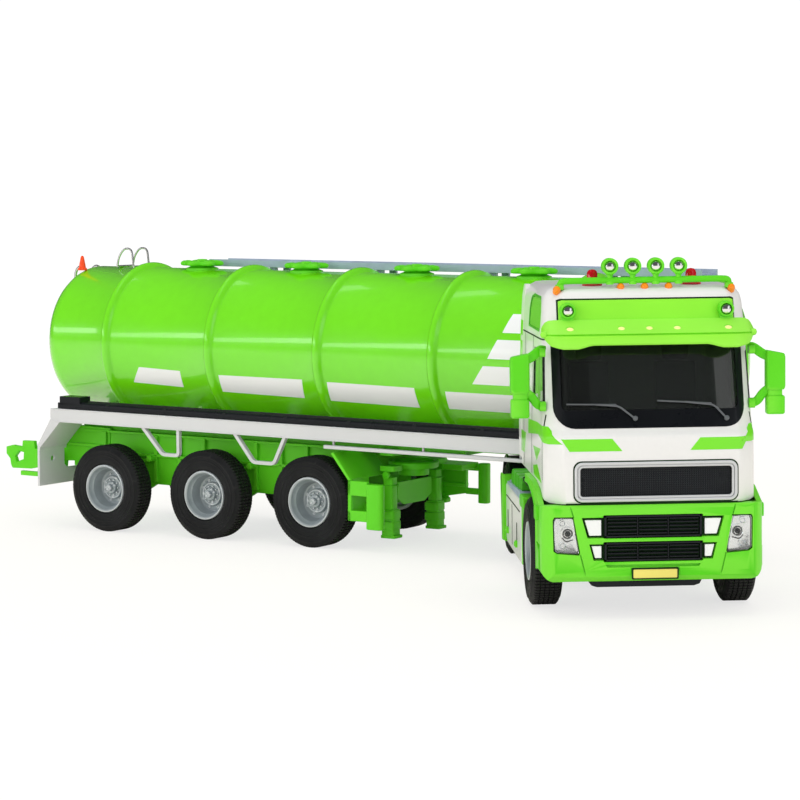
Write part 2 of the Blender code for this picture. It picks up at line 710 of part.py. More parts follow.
def trailer_chassis():
    """The green chassis: coupler plate, main beams, axle hangers, rear brackets and leg sleeves."""
    body = between("trailer_chassis", (-13.0, -40.0, 25.2), (13.0, 89.0, 28.4))
    coupler = between("coupler_plate", (-14.0, -90.0, 27.2), (14.0, -38.0, 28.3))
    join(body, coupler)
    middle = between("chassis_lightening", (-8.0, -30.0, 20.0), (8.0, 80.0, 40.0))
    cut(body, middle)
    for side in (-1, 1):
        low_x, high_x = sorted((side * 11.0, side * 13.0))
        hanger = between("axle_hanger", (low_x, -8.0, 9.0), (high_x, 88.0, 26.0))
        join(body, hanger)
        for t in (17.5, 52.5):
            arch = between("hanger_window", (low_x - 1, t - 5.0, 7.0), (high_x + 1, t + 5.0, 16.0))
            cut(body, arch)
        sleeve = between("leg_sleeve", (side * LEG_X - 2.3, LEG_T - 2.3, 10.5),
                         (side * LEG_X + 2.3, LEG_T + 2.3, 26.4))
        join(body, sleeve)
        hook = between("rear_hook", (side * 16.5 - 1.6, 95.2, 13.8), (side * 16.5 + 1.6, 111.5, 20.4))
        hook_eye = between("hook_eye", (side * 16.5 - 4, 101.5, 16.0), (side * 16.5 + 4, 108.5, 18.6))
        arm_low, arm_high = sorted((side * 11.2, side * 12.6))
        arm = between("hook_arm", (arm_low, 80.0, 15.9), (arm_high, 96.9, 19.3))
        tie_low, tie_high = sorted((side * 11.4, side * 20.0))
        tie = between("hook_tie", (tie_low, 95.2, 15.8), (tie_high, 97.0, 19.4))
        join(body, hook, arm, tie)
        cut(body, hook_eye)
    cross = between("rear_cross_tie", (-12.0, 70.0, 20.0), (12.0, 73.0, 26.0))
    join(body, cross)
    return body


def finish_trailer_chassis(trailer):
    """Cuts the running gear's clearances, which are square to the ground, out of the chassis."""
    body = bpy.data.objects["trailer_chassis"]
    tools = []
    for index in range(3):
        y = KINGPIN_AHEAD + AXLE_SPACING * index
        tools.append(rod("trailer_axle_bore", AXLE_RADIUS + GAP, 60, (0, y, TYRE_RADIUS)))
    for side in (-1, 1):
        x = side * LEG_X
        y = KINGPIN_AHEAD + LEG_T
        tools.append(between("leg_bore", (x - 1.4 - GAP, y - 1.4 - GAP, 0.0), (x + 1.4 + GAP, y + 1.4 + GAP, 40.0)))
    tools.append(rod("kingpin_bore", 1.2 + GAP, 20, (0, 0, 27.0), Z_AXIS))
    for tool in tools:
        tool.parent = trailer
    cut(body, *tools)
    paint(body, "lime_plastic")


def side_guard(side, label, front, rear, bottom):
    """A guard panel with a window, hung from a slanted plate under the rail."""
    outer = side * 21.6
    body = between("side_guard_" + label, (outer - 0.6, front, bottom), (outer + 0.6, rear, 19.6))
    window = between("guard_window", (outer - 2, front + 2.6, bottom + 3.0), (outer + 2, rear - 2.6, 16.6))
    plate_low, plate_high = sorted((side * 13.3, side * 22.2))
    shelf = between("guard_shelf", (plate_low, front, 19.0), (plate_high, rear, 20.2))
    bracket_low, bracket_high = sorted((side * 13.3, side * 14.6))
    bracket = between("guard_bracket", (bracket_low, front, 19.0), (bracket_high, rear, 25.6))
    cut(body, window)
    join(body, shelf, bracket)
    paint(body, "lime_plastic")


# ---------------------------------------------------------------- trailer, square to the ground

def landing_leg(side, label):
    """The sliding inner leg with its foot."""
    x = side * LEG_X
    y = KINGPIN_AHEAD + LEG_T
    body = between("landing_leg_" + label, (x - 1.4, y - 1.4, FOOT_CLEARANCE), (x + 1.4, y + 1.4, 17.0))
    foot = between("leg_foot", (x - 2.6, y - 2.4, FOOT_CLEARANCE), (x + 2.6, y + 2.4, FOOT_CLEARANCE + 1.2))
    join(body, foot)
    paint(body, "lime_plastic")


def trailer_wheels():
    for index in range(3):
        wheel_pair(f"trailer_{index + 1}", KINGPIN_AHEAD + AXLE_SPACING * index, TRAILER_TRACK)


# ---------------------------------------------------------------- assembly

def build_tractor():
    tractor_chassis()
    fifth_wheel()
    cab_shell()
    cab_glazing()
    cab_interior()
    front_bumper()
    bumper_intake()
    radiator_grille()
    header_visor()
    light_bar()
    for side, label in ((1, "left"), (-1, "right")):
        headlamp(side, label)
        roof_beacon(side, label)
        mirror(side, label)
        side_fairing(side, label)
    wheel_pair("front", FRONT_AXLE_Y, FRONT_TRACK)
    wheel_pair("drive", DRIVE_AXLE_Y, DRIVE_TRACK, twin=True)


def build_trailer_top():
    tank_shell()
    for index in range(4):
        hatch(index)
    tank_frame()
    walkway()
    ladder()
    rear_beacon()
    trailer_chassis()
    for side, label in ((1, "left"), (-1, "right")):
        hose_tray(side, label)
    side_guard(1, "left", -27.4, -12.7, 8.9)
    side_guard(-1, "right", -21.4, -12.7, 5.6)


def build_trailer_base():
    trailer_wheels()
    landing_leg(1, "left")
    landing_leg(-1, "right")


def build():
    truck = frame("tanker_truck_frame", (0, 0, -UNDERSIDE), (0, 0, 0))
    hang(truck, build_tractor, kingpin)
    trailer = frame("trailer_swing", (0, 0, 0), (0, 0, radians(SWING)), truck)
    level = frame("trailer_level", (0, KINGPIN_AHEAD, 0), (radians(NOSE_DOWN), 0, 0), trailer)
    hang(trailer, build_trailer_base)
    hang(level, build_trailer_top)
    finish_trailer_chassis(trailer)


build()
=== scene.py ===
"""Looks for the model tanker truck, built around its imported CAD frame.

Shapes are drawn in millimetres. GROUND has its origin on the kingpin axis with heights from the ground.
TRAILER is that frame swung about the kingpin, and LEVEL is the trailer's own frame: its origin is over the
foremost trailer axle, x is to the left, t runs rearward and h is up, tipped nose down a little.
"""

from math import cos, pi, radians, sin, sqrt

import bmesh
import bpy
from mathutils import Matrix, Vector


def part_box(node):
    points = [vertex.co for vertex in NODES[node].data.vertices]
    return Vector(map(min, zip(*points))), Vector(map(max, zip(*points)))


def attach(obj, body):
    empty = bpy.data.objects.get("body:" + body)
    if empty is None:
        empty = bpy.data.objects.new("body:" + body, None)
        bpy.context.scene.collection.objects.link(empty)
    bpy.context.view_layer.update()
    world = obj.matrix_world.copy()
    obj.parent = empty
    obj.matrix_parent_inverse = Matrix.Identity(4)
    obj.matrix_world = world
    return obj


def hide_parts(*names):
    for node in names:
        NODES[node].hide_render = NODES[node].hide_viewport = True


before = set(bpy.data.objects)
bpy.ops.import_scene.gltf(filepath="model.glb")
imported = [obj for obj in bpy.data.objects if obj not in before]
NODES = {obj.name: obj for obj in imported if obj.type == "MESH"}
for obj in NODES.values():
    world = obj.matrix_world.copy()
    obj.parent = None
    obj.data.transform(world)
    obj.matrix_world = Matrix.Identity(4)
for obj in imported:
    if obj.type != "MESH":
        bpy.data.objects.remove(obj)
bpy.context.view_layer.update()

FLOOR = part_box("front_tyre_left")[0].z
MM = Matrix.Scale(0.001, 4)
TRAILER_SWING = 54.1
TRAILER_TIP = 0.92
KINGPIN_TO_AXLE = 73.0
GROUND = Matrix.Translation((0, 0, FLOOR))
TRAILER = GROUND @ Matrix.Rotation(radians(TRAILER_SWING), 4, "Z")
LEVEL = (TRAILER @ Matrix.Translation((0, KINGPIN_TO_AXLE / 1000, 0))
         @ Matrix.Rotation(radians(TRAILER_TIP), 4, "X"))

SIDES = ((1, "left"), (-1, "right"))
TANK_HEIGHT = 51.27
TANK_RADIUS = 20.95
RING_RADIUS = 22.4
TANK_REAR = 97.3
TANK_FRONT = -107.5
TANK_RINGS = (72.25, 36.15, 0.05, -36.05, -72.15, -104.0)
LADDER_T = 98.0
LADDER_HALF = 3.5
HOOP_FEET = (76.3, 82.2)
HEADER_LAMP_X = 17.4
HATCHES = [54.2 - 36.1 * index for index in range(4)]
HANDWHEEL_LIFT = 0.85
TRAILER_AXLES = (0.0, 35.0, 70.0)
LEG_T = -17.0
LEG_X = 11.0
TYRE_RADIUS = 12.17
TREAD_BLOCKS = 84
CAB_BACK = -43.2
FRONT_AXLE_Y = -76.0
DRIVE_AXLE_Y = 6.0
VISOR_LIGHTS = [(x, -95.55, 62.98) for x in (-17.3, -6.1, 0.0, 6.1, 17.3)]
VISOR_SLOPE = Vector((0, -3.1, 5.0)).normalized()
BAR_LAMPS = [(x, -88.0, 76.5) for x in (-7.6, -2.54, 2.54, 7.6)]
PLATE_MIDDLE = (0.4, 10.05)
LATCHES = ((-14.2, 11.0), (-37.2, 10.6))
GRAIN_HEIGHT = 0.0002
LACQUER_ROUGHNESS = 0.06


# ---------------------------------------------------------------- finishes

def finish(name, slot, colour, rough, metal=0.0, coat=0.0, mottle=0.05, grain=900.0, bump=0.15,
           edge_wear_and_highlight=0.0, edge_wear_and_highlight_colour=(0.8, 0.8, 0.8), glass=0.0, wide=60.0, shine=0.5, uneven=1.0):
    """A paint or plastic: cloudy colour, uneven roughness, fine grain in relief, and convex edges painted
    lighter, partly as rubbed wear and partly as a painted edge highlight.
    """
    material = bpy.data.materials.new(name)
    material.use_nodes = True
    material["slot"] = slot
    nodes, links = material.node_tree.nodes, material.node_tree.links
    shader = nodes["Principled BSDF"]
    place = nodes.new("ShaderNodeTexCoord")

    def noise(scale, detail):
        node = nodes.new("ShaderNodeTexNoise")
        node.inputs["Scale"].default_value = scale
        node.inputs["Detail"].default_value = detail
        links.new(place.outputs["Object"], node.inputs["Vector"])
        return node.outputs["Fac"]

    def spread(source, low, high, start=0.3, end=0.7):
        node = nodes.new("ShaderNodeMapRange")
        for key, value in (("From Min", start), ("From Max", end), ("To Min", low), ("To Max", high)):
            node.inputs[key].default_value = value
        links.new(source, node.inputs["Value"])
        return node.outputs["Result"]

    def mixed(factor, first, second):
        node = nodes.new("ShaderNodeMix")
        node.data_type = "RGBA"
        links.new(factor, node.inputs["Factor"])
        for key, value in (("A", first), ("B", second)):
            socket = [s for s in node.inputs if s.name == key and s.type == "RGBA"][0]
            if isinstance(value, tuple):
                socket.default_value = (*value, 1.0)
            else:
                links.new(value, socket)
        return [s for s in node.outputs if s.type == "RGBA"][0]

    cloud = noise(wide, 4.0)
    dark = tuple(c * (1 - mottle) for c in colour)
    light = tuple(min(1.0, c * (1 + mottle)) for c in colour)
    tint = mixed(spread(cloud, 0.0, 1.0), dark, light)
    # Convex edges, found by pointiness, are painted a lighter colour: partly rubbed wear, partly a painted
    # edge highlight.
    if edge_wear_and_highlight:
        edge = nodes.new("ShaderNodeNewGeometry").outputs["Pointiness"]
        tint = mixed(spread(edge, 0.0, edge_wear_and_highlight, 0.52, 0.62), tint, edge_wear_and_highlight_colour)
    links.new(tint, shader.inputs["Base Color"])
    links.new(spread(noise(wide * 4, 3.0), rough * (1 - 0.15 * uneven), rough * (1 + 0.2 * uneven)),
              shader.inputs["Roughness"])
    relief = nodes.new("ShaderNodeBump")
    relief.inputs["Strength"].default_value = bump
    relief.inputs["Distance"].default_value = GRAIN_HEIGHT
    links.new(noise(grain, 3.0), relief.inputs["Height"])
    links.new(relief.outputs["Normal"], shader.inputs["Normal"])
    shader.inputs["Metallic"].default_value = metal
    shader.inputs["Specular IOR Level"].default_value = shine
    shader.inputs["Coat Weight"].default_value = coat
    shader.inputs["Coat Roughness"].default_value = LACQUER_ROUGHNESS
    shader.inputs["Transmission Weight"].default_value = glass
    return material


LIME = (0.158, 0.700, 0.004)
TANK_PAINT = finish("tank_enamel", "lime_gloss", LIME, 0.26, coat=0.8, mottle=0.02, grain=300.0, bump=0.26,
                    wide=400.0, uneven=0.2)
# The lighter edge colours given below are partly rubbed wear and partly painted edge highlights.
GREEN = finish("lime_plastic", "lime_plastic", (0.085, 0.590, 0.006), 0.36, coat=0.05,
               mottle=0.05, shine=0.22, edge_wear_and_highlight=0.30, edge_wear_and_highlight_colour=(0.34, 0.88, 0.09))
PALE_GREEN = finish("visor_plastic", "lime_plastic", (0.250, 0.760, 0.034), 0.42, mottle=0.04, shine=0.2,
                    edge_wear_and_highlight=0.25, edge_wear_and_highlight_colour=(0.50, 0.92, 0.22))
DARK_GREEN = finish("deep_green_plastic", "lime_plastic", (0.050, 0.380, 0.008), 0.45, mottle=0.08,
                    shine=0.3)
WHITE = finish("cab_enamel", "cab_white", (0.74, 0.74, 0.73), 0.30, coat=0.3, mottle=0.01, grain=3000.0,
               wide=900.0, uneven=0.2, bump=0.01)
DECAL = finish("white_decal", "cab_white", (0.80, 0.82, 0.82), 0.35, coat=0.3, mottle=0.01, bump=0.05)
GREEN_DECAL = finish("green_decal", "lime_gloss", LIME, 0.32, coat=0.3, mottle=0.02, bump=0.05)
SILVER = finish("satin_silver", "satin_silver", (0.53, 0.545, 0.56), 0.40, metal=0.12, mottle=0.03,
                grain=2500.0, edge_wear_and_highlight=0.4, edge_wear_and_highlight_colour=(0.92, 0.92, 0.92))
GALVANISED = finish("walkway_grey", "satin_silver", (0.36, 0.44, 0.55), 0.5, metal=0.15, mottle=0.12,
                    wide=200.0)
RIM = finish("rim_metallic", "rim_grey", (0.34, 0.39, 0.41), 0.34, metal=0.35, mottle=0.12, wide=250.0,
             grain=3000.0, edge_wear_and_highlight=0.7, edge_wear_and_highlight_colour=(0.75, 0.78, 0.80))
RUBBER = finish("tyre_rubber", "tyre_black", (0.012, 0.013, 0.014), 0.55, mottle=0.25, wide=150.0,
                grain=3500.0, bump=0.25, edge_wear_and_highlight=0.25, edge_wear_and_highlight_colour=(0.05, 0.05, 0.046), shine=0.16)
BLACK = finish("black_plastic", "black_plastic", (0.005, 0.006, 0.008), 0.30, mottle=0.2, bump=0.08,
               edge_wear_and_highlight=0.2, edge_wear_and_highlight_colour=(0.06, 0.07, 0.08), shine=0.16)
SHADOW_LINE = finish("panel_gap", "black_plastic", (0.012, 0.035, 0.012), 0.8, mottle=0.2, shine=0.1)
GLASS = finish("tinted_glass", "tinted_glass", (0.12, 0.14, 0.13), 0.03, mottle=0.02, bump=0.01, glass=0.95)
SIDE_GLASS = finish("green_tinted_glass", "tinted_glass", (0.22, 0.55, 0.15), 0.05, mottle=0.03, bump=0.01,
                    glass=0.5)
LENS = finish("clear_lens", "lamp_clear", (0.95, 0.97, 0.98), 0.03, mottle=0.02, bump=0.05, glass=0.96)
CHROME = finish("bright_reflector", "lamp_clear", (0.80, 0.82, 0.84), 0.14, metal=1.0, mottle=0.05)
RED = finish("red_lens", "lamp_red", (0.50, 0.003, 0.008), 0.12, coat=0.5, mottle=0.1, shine=0.3)
CONE_RED = finish("orange_red_cone", "lamp_red", (0.85, 0.07, 0.01), 0.35, coat=0.2, mottle=0.08, shine=0.3)
AMBER = finish("amber_lens", "lamp_red", (0.90, 0.25, 0.006), 0.25, coat=0.4, mottle=0.08, shine=0.3)
YELLOW_LENS = finish("pale_yellow_lens", "lamp_clear", (0.88, 0.84, 0.30), 0.25, coat=0.3, mottle=0.04,
                     shine=0.3)
YELLOW = finish("plate_yellow", "lamp_clear", (0.78, 0.68, 0.16), 0.4, mottle=0.05, shine=0.3)
GREY = finish("grey_plastic", "black_plastic", (0.10, 0.11, 0.12), 0.4, mottle=0.1, shine=0.4)
STEEL = finish("bare_steel", "steel", (0.60, 0.61, 0.63), 0.25, metal=0.9, mottle=0.1, wide=300.0,
               grain=4000.0, edge_wear_and_highlight=0.3)


# ---------------------------------------------------------------- shapes, in millimetres

AXES = {
    "x": lambda depth, u, v: (depth, u, v),
    "y": lambda depth, u, v: (u, depth, v),
    "z": lambda depth, u, v: (u, v, depth),
}


def loft(bm, rings, closed=False):
    """A skin through rings of points, with both ends filled unless the rings close on themselves."""
    rows = [[bm.verts.new(point) for point in ring] for ring in rings]
    count = len(rows[0])
    pairs = list(zip(rows, rows[1:]))
    if closed:
        pairs.append((rows[-1], rows[0]))
    for first, second in pairs:
        for i in range(count):
            j = (i + 1) % count
            bm.faces.new((first[i], first[j], second[j], second[i]))
    if not closed:
        bm.faces.new(rows[0][::-1])
        bm.faces.new(rows[-1])


def circle(radius, sides=14, centre=(0.0, 0.0)):
    return [(centre[0] + radius * cos(2 * pi * i / sides), centre[1] + radius * sin(2 * pi * i / sides))
            for i in range(sides)]


def rounded(half_width, half_height, radius, centre=(0.0, 0.0), steps=5):
    """A rectangle with round corners."""
    points = []
    for corner, (side_u, side_v) in enumerate(((1, 1), (-1, 1), (-1, -1), (1, -1))):
        for step in range(steps + 1):
            angle = pi / 2 * (corner + step / steps)
            points.append((centre[0] + side_u * (half_width - radius) + radius * cos(angle),
                           centre[1] + side_v * (half_height - radius) + radius * sin(angle)))
    return points


def prism(bm, outline, low, high, axis):
    """An outline given depth along an axis. Outlines are (y, z), (x, z) or (x, y) for axis x, y or z."""
    loft(bm, [[AXES[axis](depth, u, v) for u, v in outline] for depth in (low, high)])


def box(bm, low, high):
    outline = [(low[0], low[1]), (high[0], low[1]), (high[0], high[1]), (low[0], high[1])]
    prism(bm, outline, low[2], high[2], "z")


def pair_of_boxes(bm, low, high):
    """A box and its mirror image across x."""
    box(bm, low, high)
    box(bm, (-high[0], low[1], low[2]), (-low[0], high[1], high[2]))


def slab(bm, outline, side, first, second):
    """An outline in (y, z) given thickness between two distances from the middle, on one side."""
    prism(bm, outline, *sorted((side * first, side * second)), "x")


def side_box(bm, side, low, high):
    """A box on one side of the middle, drawn as on the left."""
    near, far = sorted((side * low[0], side * high[0]))
    box(bm, (near, *low[1:]), (far, *high[1:]))


def turned(bm, profile, centre=(0, 0, 0), aim=(0, 0, 1), steps=48, closed=False):
    """A turned shape: profile points are (radius, distance along aim)."""
    turn = Vector(aim).to_track_quat("Z", "Y").to_matrix()
    rings = []
    for radius, along in profile:
        rings.append([Vector(centre) + turn @ Vector((u, v, along))
                      for u, v in circle(max(radius, 0.02), steps)])
    loft(bm, rings, closed)


def sweep(bm, points, section, up=(0, 0, 1), closed=False):
    """A section carried along a path. up is square to the plane the path bends in."""
    path = [Vector(point) for point in points]
    count = len(path)
    rings = []
    for i, point in enumerate(path):
        ahead = path[(i + 1) % count] - point if i < count - 1 or closed else point - path[i - 1]
        behind = point - path[i - 1] if i or closed else ahead
        ahead, behind = ahead.normalized(), behind.normalized()
        tangent = (ahead + behind).normalized()
        across = tangent.cross(Vector(up)).normalized()
        rise = across.cross(tangent)
        stretch = 1.0 / max(0.5, tangent.dot(ahead))
        rings.append([point + across * (u * stretch) + rise * v for u, v in section])
    loft(bm, rings, closed)


def eased(points, radius, steps=4):
    """The path with its corners rounded."""
    path = [Vector(point) for point in points]
    result = [path[0]]
    for before, corner, after in zip(path, path[1:], path[2:]):
        reach_in = min(radius, (before - corner).length * 0.45)
        reach_out = min(radius, (after - corner).length * 0.45)
        start = corner + (before - corner).normalized() * reach_in
        end = corner + (after - corner).normalized() * reach_out
        for step in range(steps + 1):
            share = step / steps
            result.append(start.lerp(corner, share).lerp(corner.lerp(end, share), share))
    return result + [path[-1]]


def strip(width, thickness):
    u, v = width / 2, thickness / 2
    return [(-u, -v), (u, -v), (u, v), (-u, v)]


def level_of(table, place):
    """Reads a table of (place, value) rows, straight between its rows."""
    for (low, first), (high, second) in zip(table, table[1:]):
        if place <= high:
            share = max(0.0, (place - low) / (high - low))
            return first + (second - first) * share
    return table[-1][1]


# ---------------------------------------------------------------- pieces

def to_mesh(name, bm, place):
    mesh = bpy.data.meshes.new(name)
    bmesh.ops.recalc_face_normals(bm, faces=bm.faces)
    bm.transform(place @ MM)
    bm.to_mesh(mesh)
    bm.free()
    return mesh


def raw_object(name, bm, place=GROUND):
    obj = bpy.data.objects.new(name, to_mesh(name, bm, place))
    bpy.context.scene.collection.objects.link(obj)
    return obj


def carve(obj, operation, *shapes, place=GROUND):
    """Cuts, joins or keeps the common part of obj and each bmesh shape."""
    for shape in shapes:
        tool = raw_object("tool", shape, place)
        modifier = obj.modifiers.new("shape", "BOOLEAN")
        modifier.operation = operation
        modifier.solver = "EXACT"
        modifier.object = tool
        bpy.context.view_layer.update()
        evaluated = obj.evaluated_get(bpy.context.evaluated_depsgraph_get())
        mesh = bpy.data.meshes.new_from_object(evaluated)
        obj.modifiers.clear()
        obj.data = mesh
        bpy.data.objects.remove(tool, do_unlink=True)


def dress(obj, body, material, nodes=(), bevel=0.0, segments=2, angle=32):
    """Smooths and paints an object, hangs it on its body and lets it stand for CAD nodes."""
    obj.data.shade_smooth()
    obj.data.set_sharp_from_angle(angle=radians(angle))
    if bevel:
        modifier = obj.modifiers.new("bevel", "BEVEL")
        modifier.width = bevel * 0.001
        modifier.segments = segments
        modifier.limit_method = "ANGLE"
        modifier.angle_limit = radians(angle)
        modifier.harden_normals = True
    obj.data.materials.clear()
    obj.data.materials.append(material)
    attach(obj, body)
    if nodes:
        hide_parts(*nodes)
    return obj


def piece(name, body, material, build, place=GROUND, **looks):
    """A piece from a function that draws into a bmesh."""
    bm = bmesh.new()
    build(bm)
    return dress(raw_object(name, bm, place), body, material, **looks)


def pair(name, body, material, build, place=GROUND, node=None, **looks):
    """The left and right copies of a piece whose function takes the side."""
    for side, label in SIDES:
        nodes = (f"{node}_{label}",) if node else ()
        piece(f"{name}_{label}", body, material, lambda bm: build(bm, side), place, nodes=nodes, **looks)


def drawn(build):
    bm = bmesh.new()
    build(bm)
    return bm


def cut_piece(name, body, material, build, cut, place=GROUND, **looks):
    """A piece with the shapes of a second function taken out of it."""
    obj = raw_object(name, drawn(build), place)
    carve(obj, "DIFFERENCE", drawn(cut), place=place)
    dress(obj, body, material, **looks)


def lathe_set(name, material, profile, places, aim, steps, closed=False):
    """One turned shape at several places on the tractor, as one piece."""
    def build(bm):
        for place in places:
            turned(bm, profile, place, aim, steps, closed)
    piece(name, "tractor", material, build)


# ---------------------------------------------------------------- wheels

def tyre_section(half, raised):
    """Half the tyre's section mirrored about its middle: bead, ringed sidewall and tread ribs."""
    depth = 0.0 if raised else 0.3
    side = [(6.75, half - 0.5), (7.2, half - 0.1), (7.9, half), (8.1, half + 0.08), (8.35, half),
            (9.0, half), (9.15, half + 0.12), (9.45, half + 0.12), (9.6, half), (10.3, half - 0.02),
            (10.45, half + 0.1), (10.75, half + 0.08), (10.9, half - 0.1), (11.5, half - 0.3),
            (11.85, half - 0.55)]
    tread = []
    ribs = 5
    wide = 2 * (half - 0.75)
    for rib in range(ribs):
        start = half - 0.75 - wide * rib / ribs
        stop = start - wide / ribs
        tread += [(TYRE_RADIUS - depth, start - 0.12), (TYRE_RADIUS - depth, stop + 0.12)]
        if rib < ribs - 1:
            tread += [(TYRE_RADIUS - 0.4, stop + 0.1), (TYRE_RADIUS - 0.4, stop - 0.1)]
    return side + tread + [(r, -a) for r, a in reversed(side)]


def tyre_rings(bm, half, middle=0.0):
    """A tyre lofted round the wheel, block by block."""
    rings = []
    for block in range(TREAD_BLOCKS):
        for share, raised in ((0.02, True), (0.70, True), (0.76, False), (0.96, False)):
            angle = 2 * pi * (block + share) / TREAD_BLOCKS
            rings.append([(middle + a, r * cos(angle), r * sin(angle))
                          for r, a in tyre_section(half, raised)])
    loft(bm, rings, closed=True)


def single_tyre(bm):
    tyre_rings(bm, 3.4)


def twin_tyre(bm):
    for middle in (-2.85, 2.85):
        tyre_rings(bm, 2.6, middle)


RIM_WALL = [(5.95, 3.05), (6.3, 3.4), (6.62, 3.35), (6.72, 3.0), (6.72, -3.2), (5.9, -3.3), (5.3, -2.0),
            (0.02, -2.0)]


def ring_of(bm, count, radius, along, profile, steps, phase=0.0):
    """The same turned shape repeated round the wheel."""
    for index in range(count):
        angle = 2 * pi * (index + phase) / count
        turned(bm, profile, (along, radius * cos(angle), radius * sin(angle)), (1, 0, 0), steps)


def dished_rim(bm):
    """A deep rim with a rolled lip, a pierced disc, a ring of nuts and a stepped hub."""
    turned(bm, [(0.02, 1.75), (0.75, 1.75), (0.95, 1.55), (0.98, 0.75), (1.55, 0.7), (1.7, 0.5),
                (1.75, -0.25), (2.55, -0.3), (2.7, -0.15), (3.05, -0.15), (3.2, -0.35), (3.3, -1.15),
                (4.3, -1.3), (4.75, -1.1), (5.15, -0.3), (5.35, 1.6), (5.75, 2.1)] + RIM_WALL,
           aim=(1, 0, 0), steps=56)
    ring_of(bm, 10, 2.15, -0.2, [(0.26, -0.4), (0.26, 0.35), (0.16, 0.45)], 6)
    ring_of(bm, 8, 3.85, -1.3, [(0.42, -0.2), (0.42, 0.22), (0.3, 0.22), (0.3, 0.1)], 12, 0.5)


def front_rim(bm):
    """A shallower rim with a proud hub, for the tractor's front wheels."""
    turned(bm, [(0.02, 2.1), (0.9, 2.1), (1.3, 1.9), (1.45, 1.0), (2.3, 0.9), (2.6, 0.6), (3.6, 0.1),
                (4.6, -0.4), (5.0, -0.2), (5.3, 1.9), (5.75, 2.3)] + RIM_WALL, aim=(1, 0, 0), steps=56)
    ring_of(bm, 10, 1.95, 0.7, [(0.26, -0.4), (0.26, 0.5), (0.16, 0.6)], 6)
    ring_of(bm, 10, 4.0, -0.1, [(0.46, -0.3), (0.46, 0.3), (0.34, 0.3), (0.34, 0.16)], 12, 0.5)


def wheel_part(name, body, material, mesh, tyre_node, node, turn):
    """A tyre or rim, facing outward and placed by the middle of the tyre's box."""
    low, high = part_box(tyre_node)
    obj = bpy.data.objects.new(name, mesh)
    bpy.context.scene.collection.objects.link(obj)
    obj.matrix_world = Matrix.Translation((low + high) / 2) @ turn
    bpy.context.view_layer.update()
    dress(obj, body, material, (node,))


def wheels():
    shapes = (("tyre", single_tyre), ("twin_tyre", twin_tyre), ("rim", dished_rim),
              ("steered_rim", front_rim))
    single, twin, rim, front = (to_mesh(name, drawn(build), Matrix.Identity(4)) for name, build in shapes)
    sets = [("front", "front_wheelset", single, front, 0.0), ("drive", "drive_wheelset", twin, rim, 0.0)]
    sets += [(f"trailer_{n}", f"trailer_wheelset_{n}", single, rim, TRAILER_SWING) for n in (1, 2, 3)]
    for prefix, body, tyre_mesh, rim_mesh, swing in sets:
        for side, label in SIDES:
            turn = Matrix.Rotation(radians(swing + (180 if side < 0 else 0)), 4, "Z")
            tyre_node = f"{prefix}_tyre_{label}"
            wheel_part(f"{prefix}_{label}_tyre", body, RUBBER, tyre_mesh, tyre_node, tyre_node, turn)
            wheel_part(f"{prefix}_{label}_rim", body, RIM, rim_mesh, tyre_node,
                       f"{prefix}_rim_{label}", turn)


wheels()
for node in ("front_axle", "drive_axle", "trailer_1_axle", "trailer_2_axle", "trailer_3_axle", "kingpin",
             "fifth_wheel", "cab_interior"):
    NODES[node].data.materials.clear()
    NODES[node].data.materials.append(BLACK if node in ("fifth_wheel", "cab_interior") else STEEL)


# ---------------------------------------------------------------- tank

def barrel_point(radius, degrees, side):
    angle = radians(degrees)
    return side * radius * cos(angle), TANK_HEIGHT + radius * sin(angle)


def tank(bm):
    bead = [(-1.75, 0.0), (-1.55, 0.12), (-1.3, 0.5), (-0.95, 1.0), (-0.5, 1.35), (0.0, 1.45)]
    bead += [(-offset, rise) for offset, rise in reversed(bead[:-1])]
    profile = [(3.0, TANK_FRONT + 0.25), (12.0, TANK_FRONT), (17.6, TANK_FRONT + 0.5),
               (19.6, TANK_FRONT + 1.2), (TANK_RADIUS, TANK_FRONT + 1.8)]
    for ring in reversed(TANK_RINGS):
        profile += [(TANK_RADIUS + rise, ring + offset) for offset, rise in bead]
    profile += [(TANK_RADIUS, TANK_REAR - 6.6), (20.75, TANK_REAR - 5.2), (20.2, TANK_REAR - 4.0),
                (19.4, TANK_REAR - 2.9), (18.2, TANK_REAR - 2.0), (16.5, TANK_REAR - 1.3),
                (13.0, TANK_REAR - 0.7), (8.0, TANK_REAR - 0.25), (0.02, TANK_REAR)]
    turned(bm, profile, (0, 0, TANK_HEIGHT), (0, 1, 0), 168)


def tank_front_boss(bm):
    """The plug and its ring on the tank's front end."""
    turned(bm, [(5.2, 0.6), (5.2, -0.35), (4.6, -0.5), (4.2, -0.2), (2.2, -0.2), (2.0, -0.7), (0.02, -0.7)],
           (0, TANK_FRONT, TANK_HEIGHT), (0, 1, 0), 40)
    turned(bm, [(16.4, 0.9), (16.4, 0.1), (15.9, -0.1), (15.4, 0.1), (15.4, 0.9)],
           (0, TANK_FRONT, TANK_HEIGHT), (0, 1, 0), 96)


def wrap(bm, corners, side, cuts=16, columns=6):
    """A thin patch on the barrel between four corners, each (t, degrees above the horizontal)."""
    (t1, a1), (t2, a2), (t3, a3), (t4, a4) = corners
    rings = []
    for column in range(columns + 1):
        share = column / columns
        top = (t1 + (t2 - t1) * share, a1 + (a2 - a1) * share)
        low = (t4 + (t3 - t4) * share, a4 + (a3 - a4) * share)
        line = [(top[0] + (low[0] - top[0]) * i / cuts, top[1] + (low[1] - top[1]) * i / cuts)
                for i in range(cuts + 1)]
        outside = [(t, *barrel_point(TANK_RADIUS + 0.07, a, side)) for t, a in line]
        inside = [(t, *barrel_point(TANK_RADIUS - 0.2, a, side)) for t, a in reversed(line)]
        rings.append([(x, t, h) for t, x, h in outside + inside])
    loft(bm, rings)


